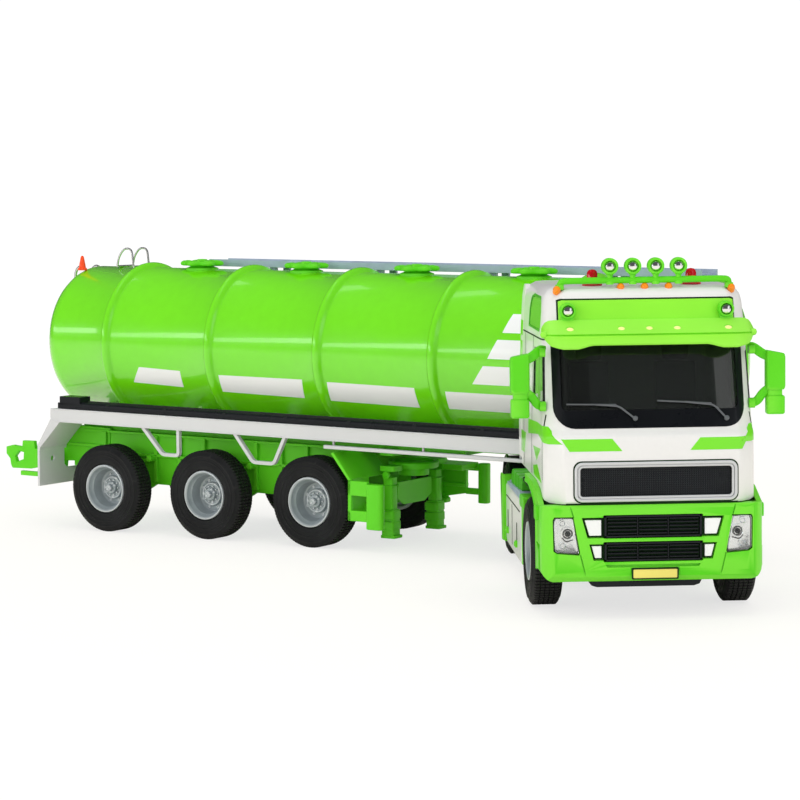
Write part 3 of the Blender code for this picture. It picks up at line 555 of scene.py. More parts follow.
TANK_PANELS = (
    ("panel_1", ((61.1, -16.6), (46.8, -18.1), (47.1, -32.0), (64.5, -30.0))),
    ("panel_2", ((33.6, -19.7), (5.7, -19.7), (6.7, -35.7), (33.9, -34.1))),
    ("panel_3", ((-2.3, -20.6), (-29.7, -21.5), (-29.6, -38.4), (-1.7, -36.7))),
    ("panel_4", ((-39.1, -23.0), (-69.0, -23.2), (-69.0, -38.5), (-38.7, -37.8))),
    ("panel_5", ((-75.4, -23.4), (-99.0, -23.8), (-99.0, -39.0), (-75.4, -38.6))),
    ("dash_1", ((-56.3, 21.0), (-69.0, 21.0), (-69.0, 35.5), (-58.0, 35.5))),
    ("dash_2", ((-52.7, 2.4), (-69.0, 2.4), (-69.0, 15.9), (-55.2, 15.9))),
    ("dash_3", ((-47.8, -16.1), (-69.0, -16.1), (-69.0, -2.8), (-51.4, -2.8))),
    ("dash_4", ((-75.4, 21.0), (-99.0, 21.0), (-99.0, 35.5), (-75.4, 35.5))),
    ("dash_5", ((-75.4, 2.4), (-96.0, 2.4), (-97.5, 15.9), (-75.4, 15.9))),
    ("dash_6", ((-75.4, -16.1), (-93.0, -16.1), (-95.0, -2.8), (-75.4, -2.8))),
)

piece("tank_barrel", "trailer", TANK_PAINT, tank, LEVEL, nodes=("tank_shell",), angle=40)
piece("tank_front_plug", "trailer", GREEN, tank_front_boss, LEVEL)
for side, label in SIDES:
    for name, corners in TANK_PANELS:
        piece(f"tank_{name}_{label}", "trailer", DECAL, lambda bm: wrap(bm, corners, side), LEVEL, angle=50)


def hatch_neck(bm, t):
    crown = TANK_HEIGHT + TANK_RADIUS - 0.6
    turned(bm, [(4.6, 0.0), (4.6, 0.75), (3.9, 1.0), (3.4, 1.2), (3.3, 1.7), (4.3, 1.75), (4.4, 1.9)],
           (0, t, crown), (0, 0, 1), 40)


def hatch_wheel(bm, t):
    """A six-lobed handwheel with scooped hollows round a capped boss."""
    base = TANK_HEIGHT + TANK_RADIUS + HANDWHEEL_LIFT
    heights = ((0.0, 0.90), (0.15, 0.97), (0.45, 1.0), (0.9, 0.99), (1.15, 0.95), (1.25, 0.86),
               (1.0, 0.62), (1.05, 0.42), (1.35, 0.36))
    rings = []
    for height, size in heights:
        ring = []
        for step in range(72):
            angle = 2 * pi * step / 72
            lobe = 5.45 + 0.68 * cos(6 * angle) * min(1.0, max(0.0, (size - 0.4) * 2))
            rise = 0.18 * cos(6 * angle) if size < 0.9 else 0.0
            ring.append((lobe * size * cos(angle), t + lobe * size * sin(angle), base + height + rise))
        rings.append(ring)
    loft(bm, rings)
    turned(bm, [(1.6, 0.9), (1.6, 1.55), (1.2, 1.8), (0.02, 1.85)], (0, t, base), (0, 0, 1), 24)
    for spoke in range(6):
        angle = 2 * pi * spoke / 6
        place = (4.0 * cos(angle), t + 4.0 * sin(angle), base + 1.0)
        turned(bm, [(1.0, -0.2), (0.95, 0.35), (0.6, 0.5), (0.02, 0.52)], place, (0, 0, 1), 16)


for number, t in enumerate(HATCHES, 1):
    piece(f"hatch_{number}_handwheel", "trailer", GREEN, lambda bm: hatch_wheel(bm, t), LEVEL,
          nodes=(f"hatch_{number}",), angle=45)
    piece(f"hatch_{number}_neck", "trailer", GREEN, lambda bm: hatch_neck(bm, t), LEVEL)


def walkway(bm):
    """A shallow channel: floor plate, folded lips, ribs along its length and cross ribs."""
    box(bm, (8.3, -98.0, 72.75), (17.5, 58.0, 73.15))
    for x in (8.2, 17.1):
        box(bm, (x, -98.0, 72.6), (x + 0.5, 58.0, 74.6))
    for x in (10.6, 12.9, 15.2):
        box(bm, (x - 0.2, -97.5, 73.0), (x + 0.2, 57.5, 73.5))
    for index in range(39):
        t = -96.0 + 4.0 * index
        box(bm, (8.5, t - 0.35, 73.0), (17.3, t + 0.35, 73.55))


def walkway_feet(bm):
    for ring in TANK_RINGS[1:5]:
        for x in (9.6, 16.0):
            low = sqrt(RING_RADIUS ** 2 - x ** 2)
            box(bm, (x - 0.5, ring - 1.1, TANK_HEIGHT + low - 0.7), (x + 0.5, ring + 1.1, 72.9))


piece("walkway_channel", "trailer", GALVANISED, walkway, LEVEL, nodes=("walkway",), bevel=0.1)
piece("walkway_feet", "trailer", GALVANISED, walkway_feet, LEVEL, bevel=0.1)


def ladder_rails(bm):
    crown = TANK_HEIGHT + TANK_RADIUS + 0.9
    rail = [(LADDER_T, 34.0), (LADDER_T, crown - 2.6), (96.4, crown - 1.0), (95.0, crown - 1.3)]
    hoop = [(HOOP_FEET[1], crown - 0.6), (81.6, 75.2), (79.6, 77.6), (76.9, 77.4),
            (HOOP_FEET[0], crown - 0.6)]
    for x in (-LADDER_HALF, LADDER_HALF):
        sweep(bm, eased([(x, t, h) for t, h in rail], 2.2, 5), circle(0.42, 12), up=(1, 0, 0))
        sweep(bm, eased([(x, t, h) for t, h in hoop], 1.6, 6), circle(0.3, 12), up=(1, 0, 0))


def ladder_rungs(bm):
    for index in range(8):
        turned(bm, [(0.34, -LADDER_HALF), (0.34, LADDER_HALF)], (0, LADDER_T, 36.3 + 4.6 * index),
               (1, 0, 0), 12)
    for t in HOOP_FEET:
        turned(bm, [(0.3, -LADDER_HALF), (0.3, LADDER_HALF)], (0, t, TANK_HEIGHT + TANK_RADIUS + 0.2),
               (1, 0, 0), 12)


piece("ladder_rails", "trailer", STEEL, ladder_rails, LEVEL, nodes=("ladder",), angle=50)
piece("ladder_rungs", "trailer", STEEL, ladder_rungs, LEVEL)


def rear_cone(bm):
    turned(bm, [(1.35, 0.0), (1.35, 0.5), (1.1, 0.75), (1.0, 0.8), (0.85, 1.9), (0.62, 3.0), (0.5, 3.7),
                (0.3, 4.1), (0.02, 4.2)], (-7.2, 92.2, 71.15), (0, 0, 1), 28)


piece("rear_warning_cone", "trailer", CONE_RED, rear_cone, LEVEL, nodes=("rear_beacon",))


# ---------------------------------------------------------------- tank frame

def rails(bm):
    """Side rails as folded channels: a web with a lip along each edge, cut back at the rear end."""
    for side in (-1, 1):
        slab(bm, [(-104.0, 28.91), (88.6, 28.91), (89.6, 29.9), (89.6, 32.66), (-104.0, 32.66)], side, 24.9,
             23.9)
        for low, high in ((28.95, 29.45), (32.1, 32.62)):
            side_box(bm, side, (24.6, -103.9, low), (22.0, 89.3, high))
        for low, high in ((28.88, 29.2), (32.38, 32.68)):
            side_box(bm, side, (25.05, -104.0, low), (24.7, 88.7, high))
    for t in (-99.0, -81.0, -54.0, -36.0, -18.0, 0.0, 18.0, 36.0, 54.0, 70.0, 84.0):
        box(bm, (-22.6, t - 1.2, 28.95), (22.6, t + 1.2, 30.3))


def straps(bm):
    for side in (-1, 1):
        x = side * 24.1
        for points in (((56.6, 29.3), (49.5, 21.9), (43.9, 21.9), (44.0, 29.3)),
                       ((24.8, 29.3), (18.5, 21.7), (11.6, 21.7), (7.9, 29.3))):
            path = eased([(x, t, h) for t, h in points], 1.0, 3)
            sweep(bm, path, strip(0.95, 1.3), up=(1, 0, 0))


def lower_bars(bm):
    for side in (-1, 1):
        path = [(side * 24.1, -4.7, 27.25), (side * 24.1, -66.0, 27.25)]
        sweep(bm, path, rounded(0.65, 0.5, 0.2, steps=2))
        for t in (-64.0, -35.0, -7.0):
            box(bm, (side * 23.2 - 0.3, t - 0.3, 27.0), (side * 23.2 + 0.3, t + 0.3, 29.3))
            box(bm, (side * 23.7 - 0.7, t - 0.3, 27.0), (side * 23.7 + 0.4, t + 0.3, 27.5))


def rear_plate(bm):
    """The low cross strip with a taller plate at each end, and the slanted panels up to the rails."""
    outline = [(-25.0, 10.2), (25.0, 10.2), (25.0, 21.7), (14.2, 21.7), (14.2, 15.6), (13.0, 14.6),
               (-13.0, 14.6), (-14.2, 15.6), (-14.2, 21.7), (-25.0, 21.7)]
    prism(bm, outline, 93.7, 94.5, "y")
    for side in (-1, 1):
        slab(bm, [(86.0, 29.0), (89.4, 29.9), (94.5, 21.9), (94.5, 20.4), (93.7, 20.2), (93.5, 21.2)], side,
             13.4, 24.95)


def rear_plate_holes(bm):
    for side in (-1, 1):
        turned(bm, [(0.85, -4.0), (0.85, 4.0)], (side * 19.2, 94.0, 17.7), (0, 1, 0), 24)


piece("frame_rails", "trailer", SILVER, rails, LEVEL, nodes=("tank_frame",), bevel=0.12)
piece("frame_straps", "trailer", SILVER, straps, LEVEL, bevel=0.1)
piece("frame_lower_bars", "trailer", SILVER, lower_bars, LEVEL, bevel=0.1)
cut_piece("frame_rear_plate", "trailer", SILVER, rear_plate, rear_plate_holes, LEVEL, bevel=0.12)


def tray(bm, side):
    """A black tray: rounded trough walls, a raised end block and clips along its length."""
    low, high = 32.76, 35.0
    profile = [(19.6, low), (24.2, low), (24.35, low + 0.8), (24.1, low + 1.6), (23.6, low + 2.0),
               (23.1, low + 1.6), (22.9, low + 0.8), (20.9, low + 0.8), (20.7, low + 1.6),
               (20.2, low + 1.9), (19.7, low + 1.5)]
    prism(bm, [(side * x, h) for x, h in profile], -103.5, 78.9, "y")
    near, far = sorted((side * 19.6, side * 24.3))
    box(bm, (near, 78.7, low), (far, 87.3, high - 0.6))
    box(bm, (near, 79.2, low + 1.0), (far, 86.6, high + 1.2))
    for index in range(9):
        t = -94.0 + 20.4 * index
        box(bm, (near, t - 0.6, low + 0.3), (far, t + 0.6, low + 1.7))


def hose(bm, side):
    path = [(side * 22.0, -101.5, 34.25), (side * 22.0, 77.6, 34.25)]
    sweep(bm, path, circle(0.85, 14))


pair("tray", "trailer", BLACK, tray, LEVEL, "hose_tray", bevel=0.12)
pair("tray_hose", "trailer", RUBBER, hose, LEVEL)


# ---------------------------------------------------------------- trailer chassis

def chassis_beams(bm):
    pair_of_boxes(bm, (8.0, -40.0, 25.3), (13.0, 88.9, 26.0))
    pair_of_boxes(bm, (9.9, -40.0, 25.9), (11.1, 88.9, 28.0))
    pair_of_boxes(bm, (8.0, -40.0, 27.9), (13.0, 88.9, 28.5))
    for t in (-38.5, -26.0, -9.0, 17.0, 52.0, 87.0):
        box(bm, (-10.5, t - 1.0, 25.6), (10.5, t + 1.0, 28.2))
    for t in (-32.0, -17.0, 0.0, 35.0, 70.0):
        turned(bm, [(0.8, -10.4), (0.8, 10.4)], (0, t, 26.9), (1, 0, 0), 16)


def coupler_plate(bm):
    prism(bm, [(-14.0, -88.0), (-12.0, -90.0), (12.0, -90.0), (14.0, -88.0), (14.0, -38.0), (-14.0, -38.0)],
          27.3, 28.3, "z")
    for x in (-13.6, -6.0, 6.0, 13.6):
        box(bm, (x - 0.4, -89.0, 28.1), (x + 0.4, -38.5, 29.2))


def hangers(bm):
    """The plates either side that carry the axles, with feet under each and stiffening ribs."""
    outline = [(-8.0, 26.0), (-8.0, 13.0), (-4.5, 9.2), (4.5, 9.2), (8.5, 11.6), (26.5, 11.6), (30.5, 9.2),
               (39.5, 9.2), (43.5, 11.6), (61.5, 11.6), (65.5, 9.2), (74.5, 9.2), (79.0, 12.0),
               (86.0, 17.5), (88.0, 26.0)]
    for side in (-1, 1):
        slab(bm, outline, side, 11.1, 12.4)
        low, high = sorted((side * 12.2, side * 13.4))
        for t in (-7.0, 9.0, 17.5, 26.0, 44.0, 52.5, 61.0, 79.5):
            box(bm, (low, t - 0.6, 12.4 if t > -7 else 14.0), (high, t + 0.6, 25.6))
        for t in TRAILER_AXLES:
            turned(bm, [(2.3, 0.0), (2.3, 1.6), (1.9, 1.9)], (side * 12.2, t, 12.4), (side, 0, 0), 24)
        box(bm, (low, -7.0, 19.4), (high, 86.0, 20.2))


def springs(bm):
    """A stack of curved leaves over each axle, with its clamp."""
    for side in (-1, 1):
        for t in TRAILER_AXLES:
            for leaf, (half, height) in enumerate(((8.6, 17.6), (6.8, 16.9), (5.0, 16.2))):
                path = [(side * 14.6, t + half * (i / 5 - 1), height + 1.5 * (i / 5 - 1) ** 2)
                        for i in range(11)]
                sweep(bm, path, strip(0.55, 2.0), up=(1, 0, 0))
            box(bm, (side * 14.6 - 1.3, t - 1.5, 15.4), (side * 14.6 + 1.3, t + 1.5, 18.3))
            turned(bm, [(0.9, -1.6), (0.9, 1.6)], (side * 14.2, t - 8.6, 19.2), (1, 0, 0), 16)
            turned(bm, [(0.9, -1.6), (0.9, 1.6)], (side * 14.2, t + 8.6, 19.2), (1, 0, 0), 16)


def drums(bm):
    for side in (-1, 1):
        for t in TRAILER_AXLES:
            turned(bm, [(4.6, 0.0), (4.9, 0.3), (4.9, 2.2), (4.3, 2.7), (1.4, 2.7)],
                   (side * 13.6, t, 12.3 - t * 0.016), (side, 0, 0), 36)
            turned(bm, [(1.7, 0.0), (1.9, 0.4), (1.9, 2.2), (1.2, 2.6)],
                   (side * 8.6, t - 5.5, 17.0), (0.3 * side, 1, 0.2), 20)


def air_tank(bm):
    for side in (-1, 1):
        turned(bm, [(0.02, -10.4), (1.8, -10.2), (2.7, -9.4), (3.0, -8.2), (3.0, 8.2), (2.7, 9.4),
                    (1.8, 10.2), (0.02, 10.4)], (side * 6.0, 17.5, 21.5), (0, 1, 0), 32)


def leg_sleeves(bm):
    """The fixed outer legs, the beam and the plate between them, and the turntable pad."""
    for side in (-1, 1):
        x = side * LEG_X
        for low, high, half in ((16.6, 26.2, 2.05), (16.5, 18.4, 2.35), (20.4, 21.8, 2.3),
                                (24.6, 26.4, 2.35)):
            prism(bm, rounded(half, half, 0.6, (x, LEG_T), 3), low, high, "z")
        turned(bm, [(1.05, 0.0), (1.05, 0.8), (0.6, 1.1)], (x + side * 2.0, LEG_T, 19.4), (side, 0, 0), 18)
    box(bm, (-9.6, -18.4, 16.7), (9.6, -15.6, 18.5))
    prism(bm, [(-8.4, 17.0), (-8.4, 12.6), (-5.0, 10.8), (5.0, 10.8), (8.4, 12.6), (8.4, 17.0)], -17.4,
          -16.6, "y")
    prism(bm, [(-3.6, 11.2), (3.6, 11.2), (2.2, 9.6), (-2.2, 9.6)], -16.8, -16.0, "y")
    turned(bm, [(6.6, 0.0), (6.8, 0.4), (6.8, 1.5), (6.4, 1.8), (5.6, 1.8), (5.2, 1.2), (0.02, 1.2)],
           (0.0, LEG_T, 20.4), (0, 0, 1), 40)
    turned(bm, [(4.2, 0.0), (4.2, 2.2)], (0.0, LEG_T, 18.4), (0, 0, 1), 28)


def leg_bores(bm):
    for side in (-1, 1):
        box(bm, (side * LEG_X - 1.65, -18.85, 0.0), (side * LEG_X + 1.65, -15.15, 25.3))


def rear_arms(bm):
    for side in (-1, 1):
        slab(bm, [(78.0, 26.6), (78.0, 15.2), (91.3, 15.2), (91.3, 16.5), (94.7, 16.3), (95.0, 14.1),
                  (97.0, 13.6), (97.0, 22.2), (91.2, 26.9)], side, 11.2, 12.7)
        side_box(bm, side, (10.7, 78.0, 21.0), (13.3, 97.0, 21.8))
        side_box(bm, side, (11.3, 95.1, 15.9), (19.6, 96.9, 19.3))
        turned(bm, [(0.75, -4.2), (0.75, 4.2)], (side * 15.4, 98.4, 12.2), (1, 0, 0), 16)
        box(bm, (side * 13.4 - 0.7, 96.0, 11.6), (side * 13.4 + 0.7, 99.2, 16.6))


def rear_hook(bm, side):
    outline = [(96.6, 19.4), (96.6, 15.6), (102.2, 14.1), (103.2, 13.9), (110.3, 13.7), (110.9, 14.6),
               (111.2, 16.4), (112.6, 17.8), (112.6, 19.8), (110.2, 20.4), (106.5, 20.1), (106.3, 21.9),
               (102.0, 22.0), (101.6, 19.8)]
    slab(bm, outline, side, 16.7, 18.0)
    side_box(bm, side, (16.7, 97.6, 11.8), (18.0, 107.2, 13.1))


def hook_eye(bm, side):
    slab(bm, [(109.3, 17.2), (107.8, 18.8), (105.9, 18.5), (106.1, 16.5), (108.7, 15.6)], side, 12.0, 21.0)


def sloping_fairing(bm, side):
    """The slanted plate ahead of the foremost wheel, with the upright plate it folds down into."""
    slab(bm, [(-6.7, 25.6), (-7.6, 26.0), (-13.2, 19.0), (-12.4, 18.6)], side, 6.5, 24.5)
    slab(bm, [(-12.4, 19.0), (-12.4, 8.2), (-13.2, 8.2), (-13.2, 19.4)], side, 15.6, 24.2)
    slab(bm, [(-12.6, 8.2), (-12.6, 12.4), (-17.6, 10.2), (-17.6, 9.0)], side, 15.6, 18.0)


def near_guard(bm, side):
    """The right-hand guard: a framed window panel with a deeper round-edged post at its front."""
    near, far = sorted((side * 23.3, side * 24.6))
    box(bm, (near, -13.4, 8.2), (far, -12.3, 18.8))
    box(bm, (near, -18.4, 14.9), (far, -12.3, 18.8))
    box(bm, (near, -18.4, 8.2), (far, -12.3, 11.0))
    sweep(bm, [(side * 23.6, -20.4, 6.3), (side * 23.6, -20.4, 18.2)], rounded(2.5, 1.3, 1.1, steps=4),
          up=(1, 0, 0))


def far_guard(bm, side):
    """The left-hand guard: a ribbed plate, then a window, then a long round post."""
    x = side * 21.8
    near, far = sorted((x - 0.7, x + 0.7))
    prism(bm, [(-12.7, 18.2), (-20.5, 18.9), (-20.5, 11.2), (-12.7, 9.8)], near, far, "x")
    box(bm, (near, -26.0, 17.6), (far, -20.3, 19.4))
    box(bm, (near, -26.0, 11.0), (far, -20.3, 12.7))
    sweep(bm, [(x, -26.0, 8.8), (x, -26.0, 19.8)], rounded(1.55, 1.4, 1.0, steps=4), up=(1, 0, 0))
    box(bm, (near - 0.5, -20.3, 13.0), (far + 0.5, -13.0, 14.0))
    side_box(bm, side, (13.3, -24.0, 18.4), (22.2, -12.8, 20.0))


piece("trailer_beams", "trailer", GREEN, chassis_beams, LEVEL, nodes=("trailer_chassis",), bevel=0.12)
piece("trailer_coupler_plate", "trailer", GREEN, coupler_plate, LEVEL, bevel=0.12)
piece("trailer_hangers", "trailer", GREEN, hangers, LEVEL, bevel=0.15)
piece("trailer_springs", "trailer", GREEN, springs, LEVEL, bevel=0.08)
piece("trailer_brake_drums", "trailer", GREEN, drums, LEVEL, bevel=0.08)
piece("trailer_air_tanks", "trailer", BLACK, air_tank, LEVEL)
cut_piece("trailer_leg_sleeves", "trailer", GREEN, leg_sleeves, leg_bores, LEVEL, bevel=0.12)
piece("trailer_rear_arms", "trailer", GREEN, rear_arms, LEVEL, bevel=0.15)
for side, label in SIDES:
    cut_piece(f"trailer_rear_hook_{label}", "trailer", GREEN, lambda bm: rear_hook(bm, side),
              lambda bm: hook_eye(bm, side), LEVEL, bevel=0.3)
pair("sloping_fairing", "trailer", GREEN, sloping_fairing, LEVEL, bevel=0.3)
piece("guard_left", "trailer", GREEN, lambda bm: far_guard(bm, 1), LEVEL, nodes=("side_guard_left",),
      bevel=0.25)
piece("guard_right", "trailer", GREEN, lambda bm: near_guard(bm, -1), LEVEL, nodes=("side_guard_right",),
      bevel=0.25)


def landing_leg(bm, side):
    """The sliding leg: a square bar, then a stouter shank with two rounded bands and a flared foot."""
    x, y = side * LEG_X, KINGPIN_TO_AXLE + LEG_T
    prism(bm, rounded(1.4, 1.4, 0.3, (x, y), 2), 9.6, 18.4, "z")
    prism(bm, rounded(1.85, 1.85, 0.4, (x, y), 3), 2.6, 9.8, "z")
    for z in (4.6, 7.3):
        prism(bm, rounded(2.3, 2.2, 0.9, (x, y + 0.15), 4), z, z + 2.1, "z")
    prism(bm, rounded(2.05, 2.3, 0.5, (x, y - 0.2), 3), 2.2, 3.0, "z")


for side, label in SIDES:
    piece(f"leg_foot_{label}", f"leg_{label}", GREEN, lambda bm: landing_leg(bm, side), TRAILER,
          nodes=(f"landing_leg_{label}",), bevel=0.12)


# ---------------------------------------------------------------- cab

FRONT_LINE = ((25.3, -98.6), (25.9, -99.0), (39.5, -99.0), (40.3, -98.6), (41.0, -97.6), (41.8, -97.15),
              (59.6, -92.4), (64.0, -91.4), (69.4, -90.2), (70.7, -89.6), (71.6, -88.5), (72.1, -86.9),
              (72.2, -85.6))
SIDE_LINE = ((25.3, 23.3), (38.0, 23.3), (59.0, 22.7), (64.0, 22.5), (68.6, 22.2), (70.2, 21.8),
             (71.4, 20.9), (72.1, 19.6), (72.2, 18.4))
CAB_LEVELS = (25.3, 25.9, 32.0, 39.5, 40.3, 41.0, 41.8, 48.0, 54.0, 59.6, 64.0, 66.5, 68.6, 69.4, 70.2,
              70.7, 71.4, 71.7, 72.1, 72.2)


def cab_ring(z, grow):
    """The cab's plan at a height, moved outward by grow: a flat front with creased corner panels."""
    front = level_of(FRONT_LINE, z) - grow
    half = level_of(SIDE_LINE, z) + grow
    back = CAB_BACK + grow
    size = half / 23.3
    height = z + grow if z > 69.0 else z
    right = [(0.0, front), (10.0, front), (18.9 * size, front + 0.15), (19.7 * size, front + 0.6),
             (half - 1.0, front + 3.7), (half - 0.25, front + 4.9), (half, front + 6.4), (half, back - 2.0),
             (half - 0.6, back - 0.6), (half - 2.0, back)]
    return [(x, y, height) for x, y in right] + [(-x, y, height) for x, y in reversed(right[1:])]


def cab_loft(bm, grow=0.0, low=None):
    rings = [cab_ring(z, grow) for z in CAB_LEVELS]
    if low is not None:
        rings.insert(0, [(x, y, low) for x, y, _ in rings[0]])
    loft(bm, rings)


def front_cutter(outline):
    return drawn(lambda bm: prism(bm, outline, -103.0, -84.0, "y"))


def side_cutter(outline, side):
    near, far = sorted((side * 15.0, side * 30.0))
    return drawn(lambda bm: prism(bm, outline, near, far, "x"))


def inlay(name, material, cutter, holes=(), lift=0.08, depth=0.45, **looks):
    """A thin skin that follows the cab's surface inside the cutter."""
    skin = raw_object(name, drawn(lambda bm: cab_loft(bm, lift)))
    carve(skin, "INTERSECT", cutter)
    carve(skin, "DIFFERENCE", *holes, drawn(lambda bm: cab_loft(bm, lift - depth, 15.0)))
    return dress(skin, "tractor", material, **looks)


def screen_outline(half, low, high, radius):
    """A windscreen outline with large lower corners."""
    points = [(half, high), (-half, high)]
    for side, start in ((-1, pi), (1, 1.5 * pi)):
        for step in range(8):
            angle = start + pi / 2 * step / 7
            points.append((side * (half - radius) + radius * cos(angle),
                           low + radius + radius * sin(angle)))
    return points


GRILLE_MIDDLE = (0.8, 30.1)
SCREEN = screen_outline(20.2, 42.2, 62.0, 4.0)
DOOR_WINDOW = [(-72.4, 44.6), (-71.4, 45.6), (-71.4, 57.2), (-72.4, 58.2), (-87.0, 58.2), (-88.6, 57.4),
               (-91.4, 47.0), (-90.6, 45.2)]
UPPER_WINDOW = [(-57.6, 62.2), (-58.4, 66.6), (-61.6, 69.4), (-66.0, 70.0), (-80.0, 69.8), (-82.8, 68.6),
                (-83.4, 66.6), (-83.0, 63.2), (-81.6, 62.0)]


def shrunk(outline, amount):
    """An outline drawn in towards its middle."""
    u0 = (min(u for u, _ in outline) + max(u for u, _ in outline)) / 2
    v0 = (min(v for _, v in outline) + max(v for _, v in outline)) / 2
    half_u = max(u for u, _ in outline) - u0
    half_v = max(v for _, v in outline) - v0
    return [(u0 + (u - u0) * (1 - amount / half_u), v0 + (v - v0) * (1 - amount / half_v))
            for u, v in outline]


def cab_body():
    body = raw_object("cab_body", drawn(cab_loft))
    carve(body, "DIFFERENCE", drawn(lambda bm: cab_loft(bm, -1.2, 15.0)))
    carve(body, "DIFFERENCE", front_cutter(SCREEN), front_cutter(rounded(17.2, 3.8, 1.2, GRILLE_MIDDLE)))
    below = [(-95.4, 20.0), (-95.4, 25.3), (-88.4, 27.6), (-80.3, 28.7), (-40.0, 28.9), (-40.0, 20.0)]
    carve(body, "DIFFERENCE", drawn(lambda bm: prism(bm, below, -30.0, 30.0, "x")))
    for side in (-1, 1):
        carve(body, "DIFFERENCE", side_cutter(DOOR_WINDOW, side), side_cutter(UPPER_WINDOW, side))
    dress(body, "tractor", WHITE, nodes=("cab_shell",), bevel=0.12)


def windows():
    inlay("windscreen_surround", BLACK, front_cutter(screen_outline(21.0, 41.6, 63.0, 4.6)),
          [front_cutter(screen_outline(19.3, 45.5, 61.2, 1.2))], lift=0.1, depth=0.9, bevel=0.08)
    inlay("windscreen_glass", GLASS, front_cutter(screen_outline(19.8, 42.6, 61.8, 3.8)), lift=-0.15,
          depth=0.6, nodes=("cab_glazing",))
    for side, label in SIDES:
        inlay(f"door_window_frame_{label}", BLACK, side_cutter(DOOR_WINDOW, side),
              [side_cutter(shrunk(DOOR_WINDOW, 0.9), side)], lift=0.06, depth=0.8)
        inlay(f"door_window_{label}", SIDE_GLASS, side_cutter(shrunk(DOOR_WINDOW, 0.6), side), lift=-0.2,
              depth=0.6)
        inlay(f"upper_window_{label}", SIDE_GLASS, side_cutter(UPPER_WINDOW, side), lift=-0.05, depth=0.7)
        inlay(f"upper_window_edge_{label}", DARK_GREEN, side_cutter(UPPER_WINDOW, side),
              [side_cutter([(u - 1.3, v) for u, v in shrunk(UPPER_WINDOW, 0.5)], side)], lift=0.04,
              depth=0.5)


def seam(u1, v1, u2, v2, width=0.32):
    """A narrow outline along a line."""
    along = Vector((u2 - u1, v2 - v1)).normalized() * width / 2
    return [(u1 + along.y, v1 - along.x), (u2 + along.y, v2 - along.x), (u2 - along.y, v2 + along.x),
            (u1 - along.y, v1 + along.x)]


FLANK_DECALS = (
    ("swoosh", ((-62.0, 41.0), (-82.0, 41.9), (-93.6, 41.9), (-98.6, 38.4), (-95.6, 38.2), (-84.0, 39.4),
                (-62.0, 37.6))),
    ("wedge_1", ((-73.0, 35.8), (-88.8, 36.6), (-80.5, 33.2))),
    ("wedge_2", ((-73.0, 31.4), (-82.0, 32.4), (-90.6, 29.2), (-74.0, 29.4))),
    ("rear_band", ((-44.2, 32.0), (-52.0, 32.2), (-56.0, 37.2), (-44.2, 37.0))),
)
SEAMS = (
    ("door_rear_seam", (-69.4, 29.2, -69.4, 60.4)),
    ("door_front_seam", (-92.4, 30.0, -92.4, 44.4)),
    ("roof_seam", (-90.0, 60.6, -45.0, 60.6)),
    ("rear_panel_seam", (-51.0, 29.2, -51.0, 60.4)),
)


def markings():
    for side, label in SIDES:
        swoosh = [(side * x + 0.9, z) for x, z in ((20.7, 39.5), (9.6, 39.5), (7.4, 36.8), (18.9, 36.8))]
        inlay(f"front_swoosh_{label}", GREEN_DECAL, front_cutter(swoosh), lift=0.05)
        for name, outline in FLANK_DECALS:
            inlay(f"flank_{name}_{label}", GREEN_DECAL, side_cutter(outline, side), lift=0.05)
        for name, line in SEAMS:
            inlay(f"{name}_{label}", SHADOW_LINE, side_cutter(seam(*line), side), lift=0.03)
    header = [(-19.6, 63.6), (19.6, 63.6), (19.6, 69.3), (18.8, 69.6), (-18.8, 69.6), (-19.6, 69.3)]
    inlay("header_gap", SHADOW_LINE, front_cutter(header), lift=0.05)
    inlay("header_panel", PALE_GREEN, front_cutter(shrunk(header, 0.35)), lift=0.3, bevel=0.1)
    inlay("grille_gap", SHADOW_LINE, front_cutter(rounded(18.05, 4.6, 1.8, GRILLE_MIDDLE)),
          [front_cutter(rounded(17.3, 3.9, 1.2, GRILLE_MIDDLE))], lift=0.05)
    piece("split_line", "tractor", SHADOW_LINE,
          lambda bm: loft(bm, [[(x, y, z) for x, y, _ in cab_ring(25.9, -0.25)] for z in (24.6, 25.5)]))


def face_frame(bm, sections, radius, middle, steps):
    """A closed frame on the front. The sections are (half width, half height, y) round its rim."""
    loft(bm, [[(x, y, z) for x, z in rounded(half_x, half_z, radius, middle, steps)]
              for half_x, half_z, y in sections], closed=True)


def grille_frame(bm):
    """Two polished beads round the grille, on a flat base."""
    for half_x, half_z, radius, y, thick in ((17.45, 4.0, 1.4, -99.25, 0.34),
                                             (16.8, 3.4, 0.9, -99.1, 0.28)):
        path = [(x, y, z) for x, z in rounded(half_x, half_z, radius, GRILLE_MIDDLE, 6)]
        sweep(bm, path, circle(thick, 12), up=(0, 1, 0), closed=True)
    base = ((17.6, 4.1, -98.2), (17.6, 4.1, -98.9), (16.7, 3.3, -98.9), (16.7, 3.3, -98.2))
    face_frame(bm, base, 0.9, GRILLE_MIDDLE, 6)


def grille_mesh(bm):
    """A woven screen: ribs across, finer ribs down and a back plate."""
    box(bm, (-16.1, -98.0, 26.6), (17.7, -97.6, 33.6))
    for index in range(14):
        z = 26.9 + 0.48 * index
        box(bm, (-16.0, -98.3, z - 0.11), (17.6, -98.0, z + 0.11))
    for index in range(68):
        x = -15.9 + 0.49 * index
        box(bm, (x - 0.09, -98.35, 26.7), (x + 0.09, -97.9, 33.5))


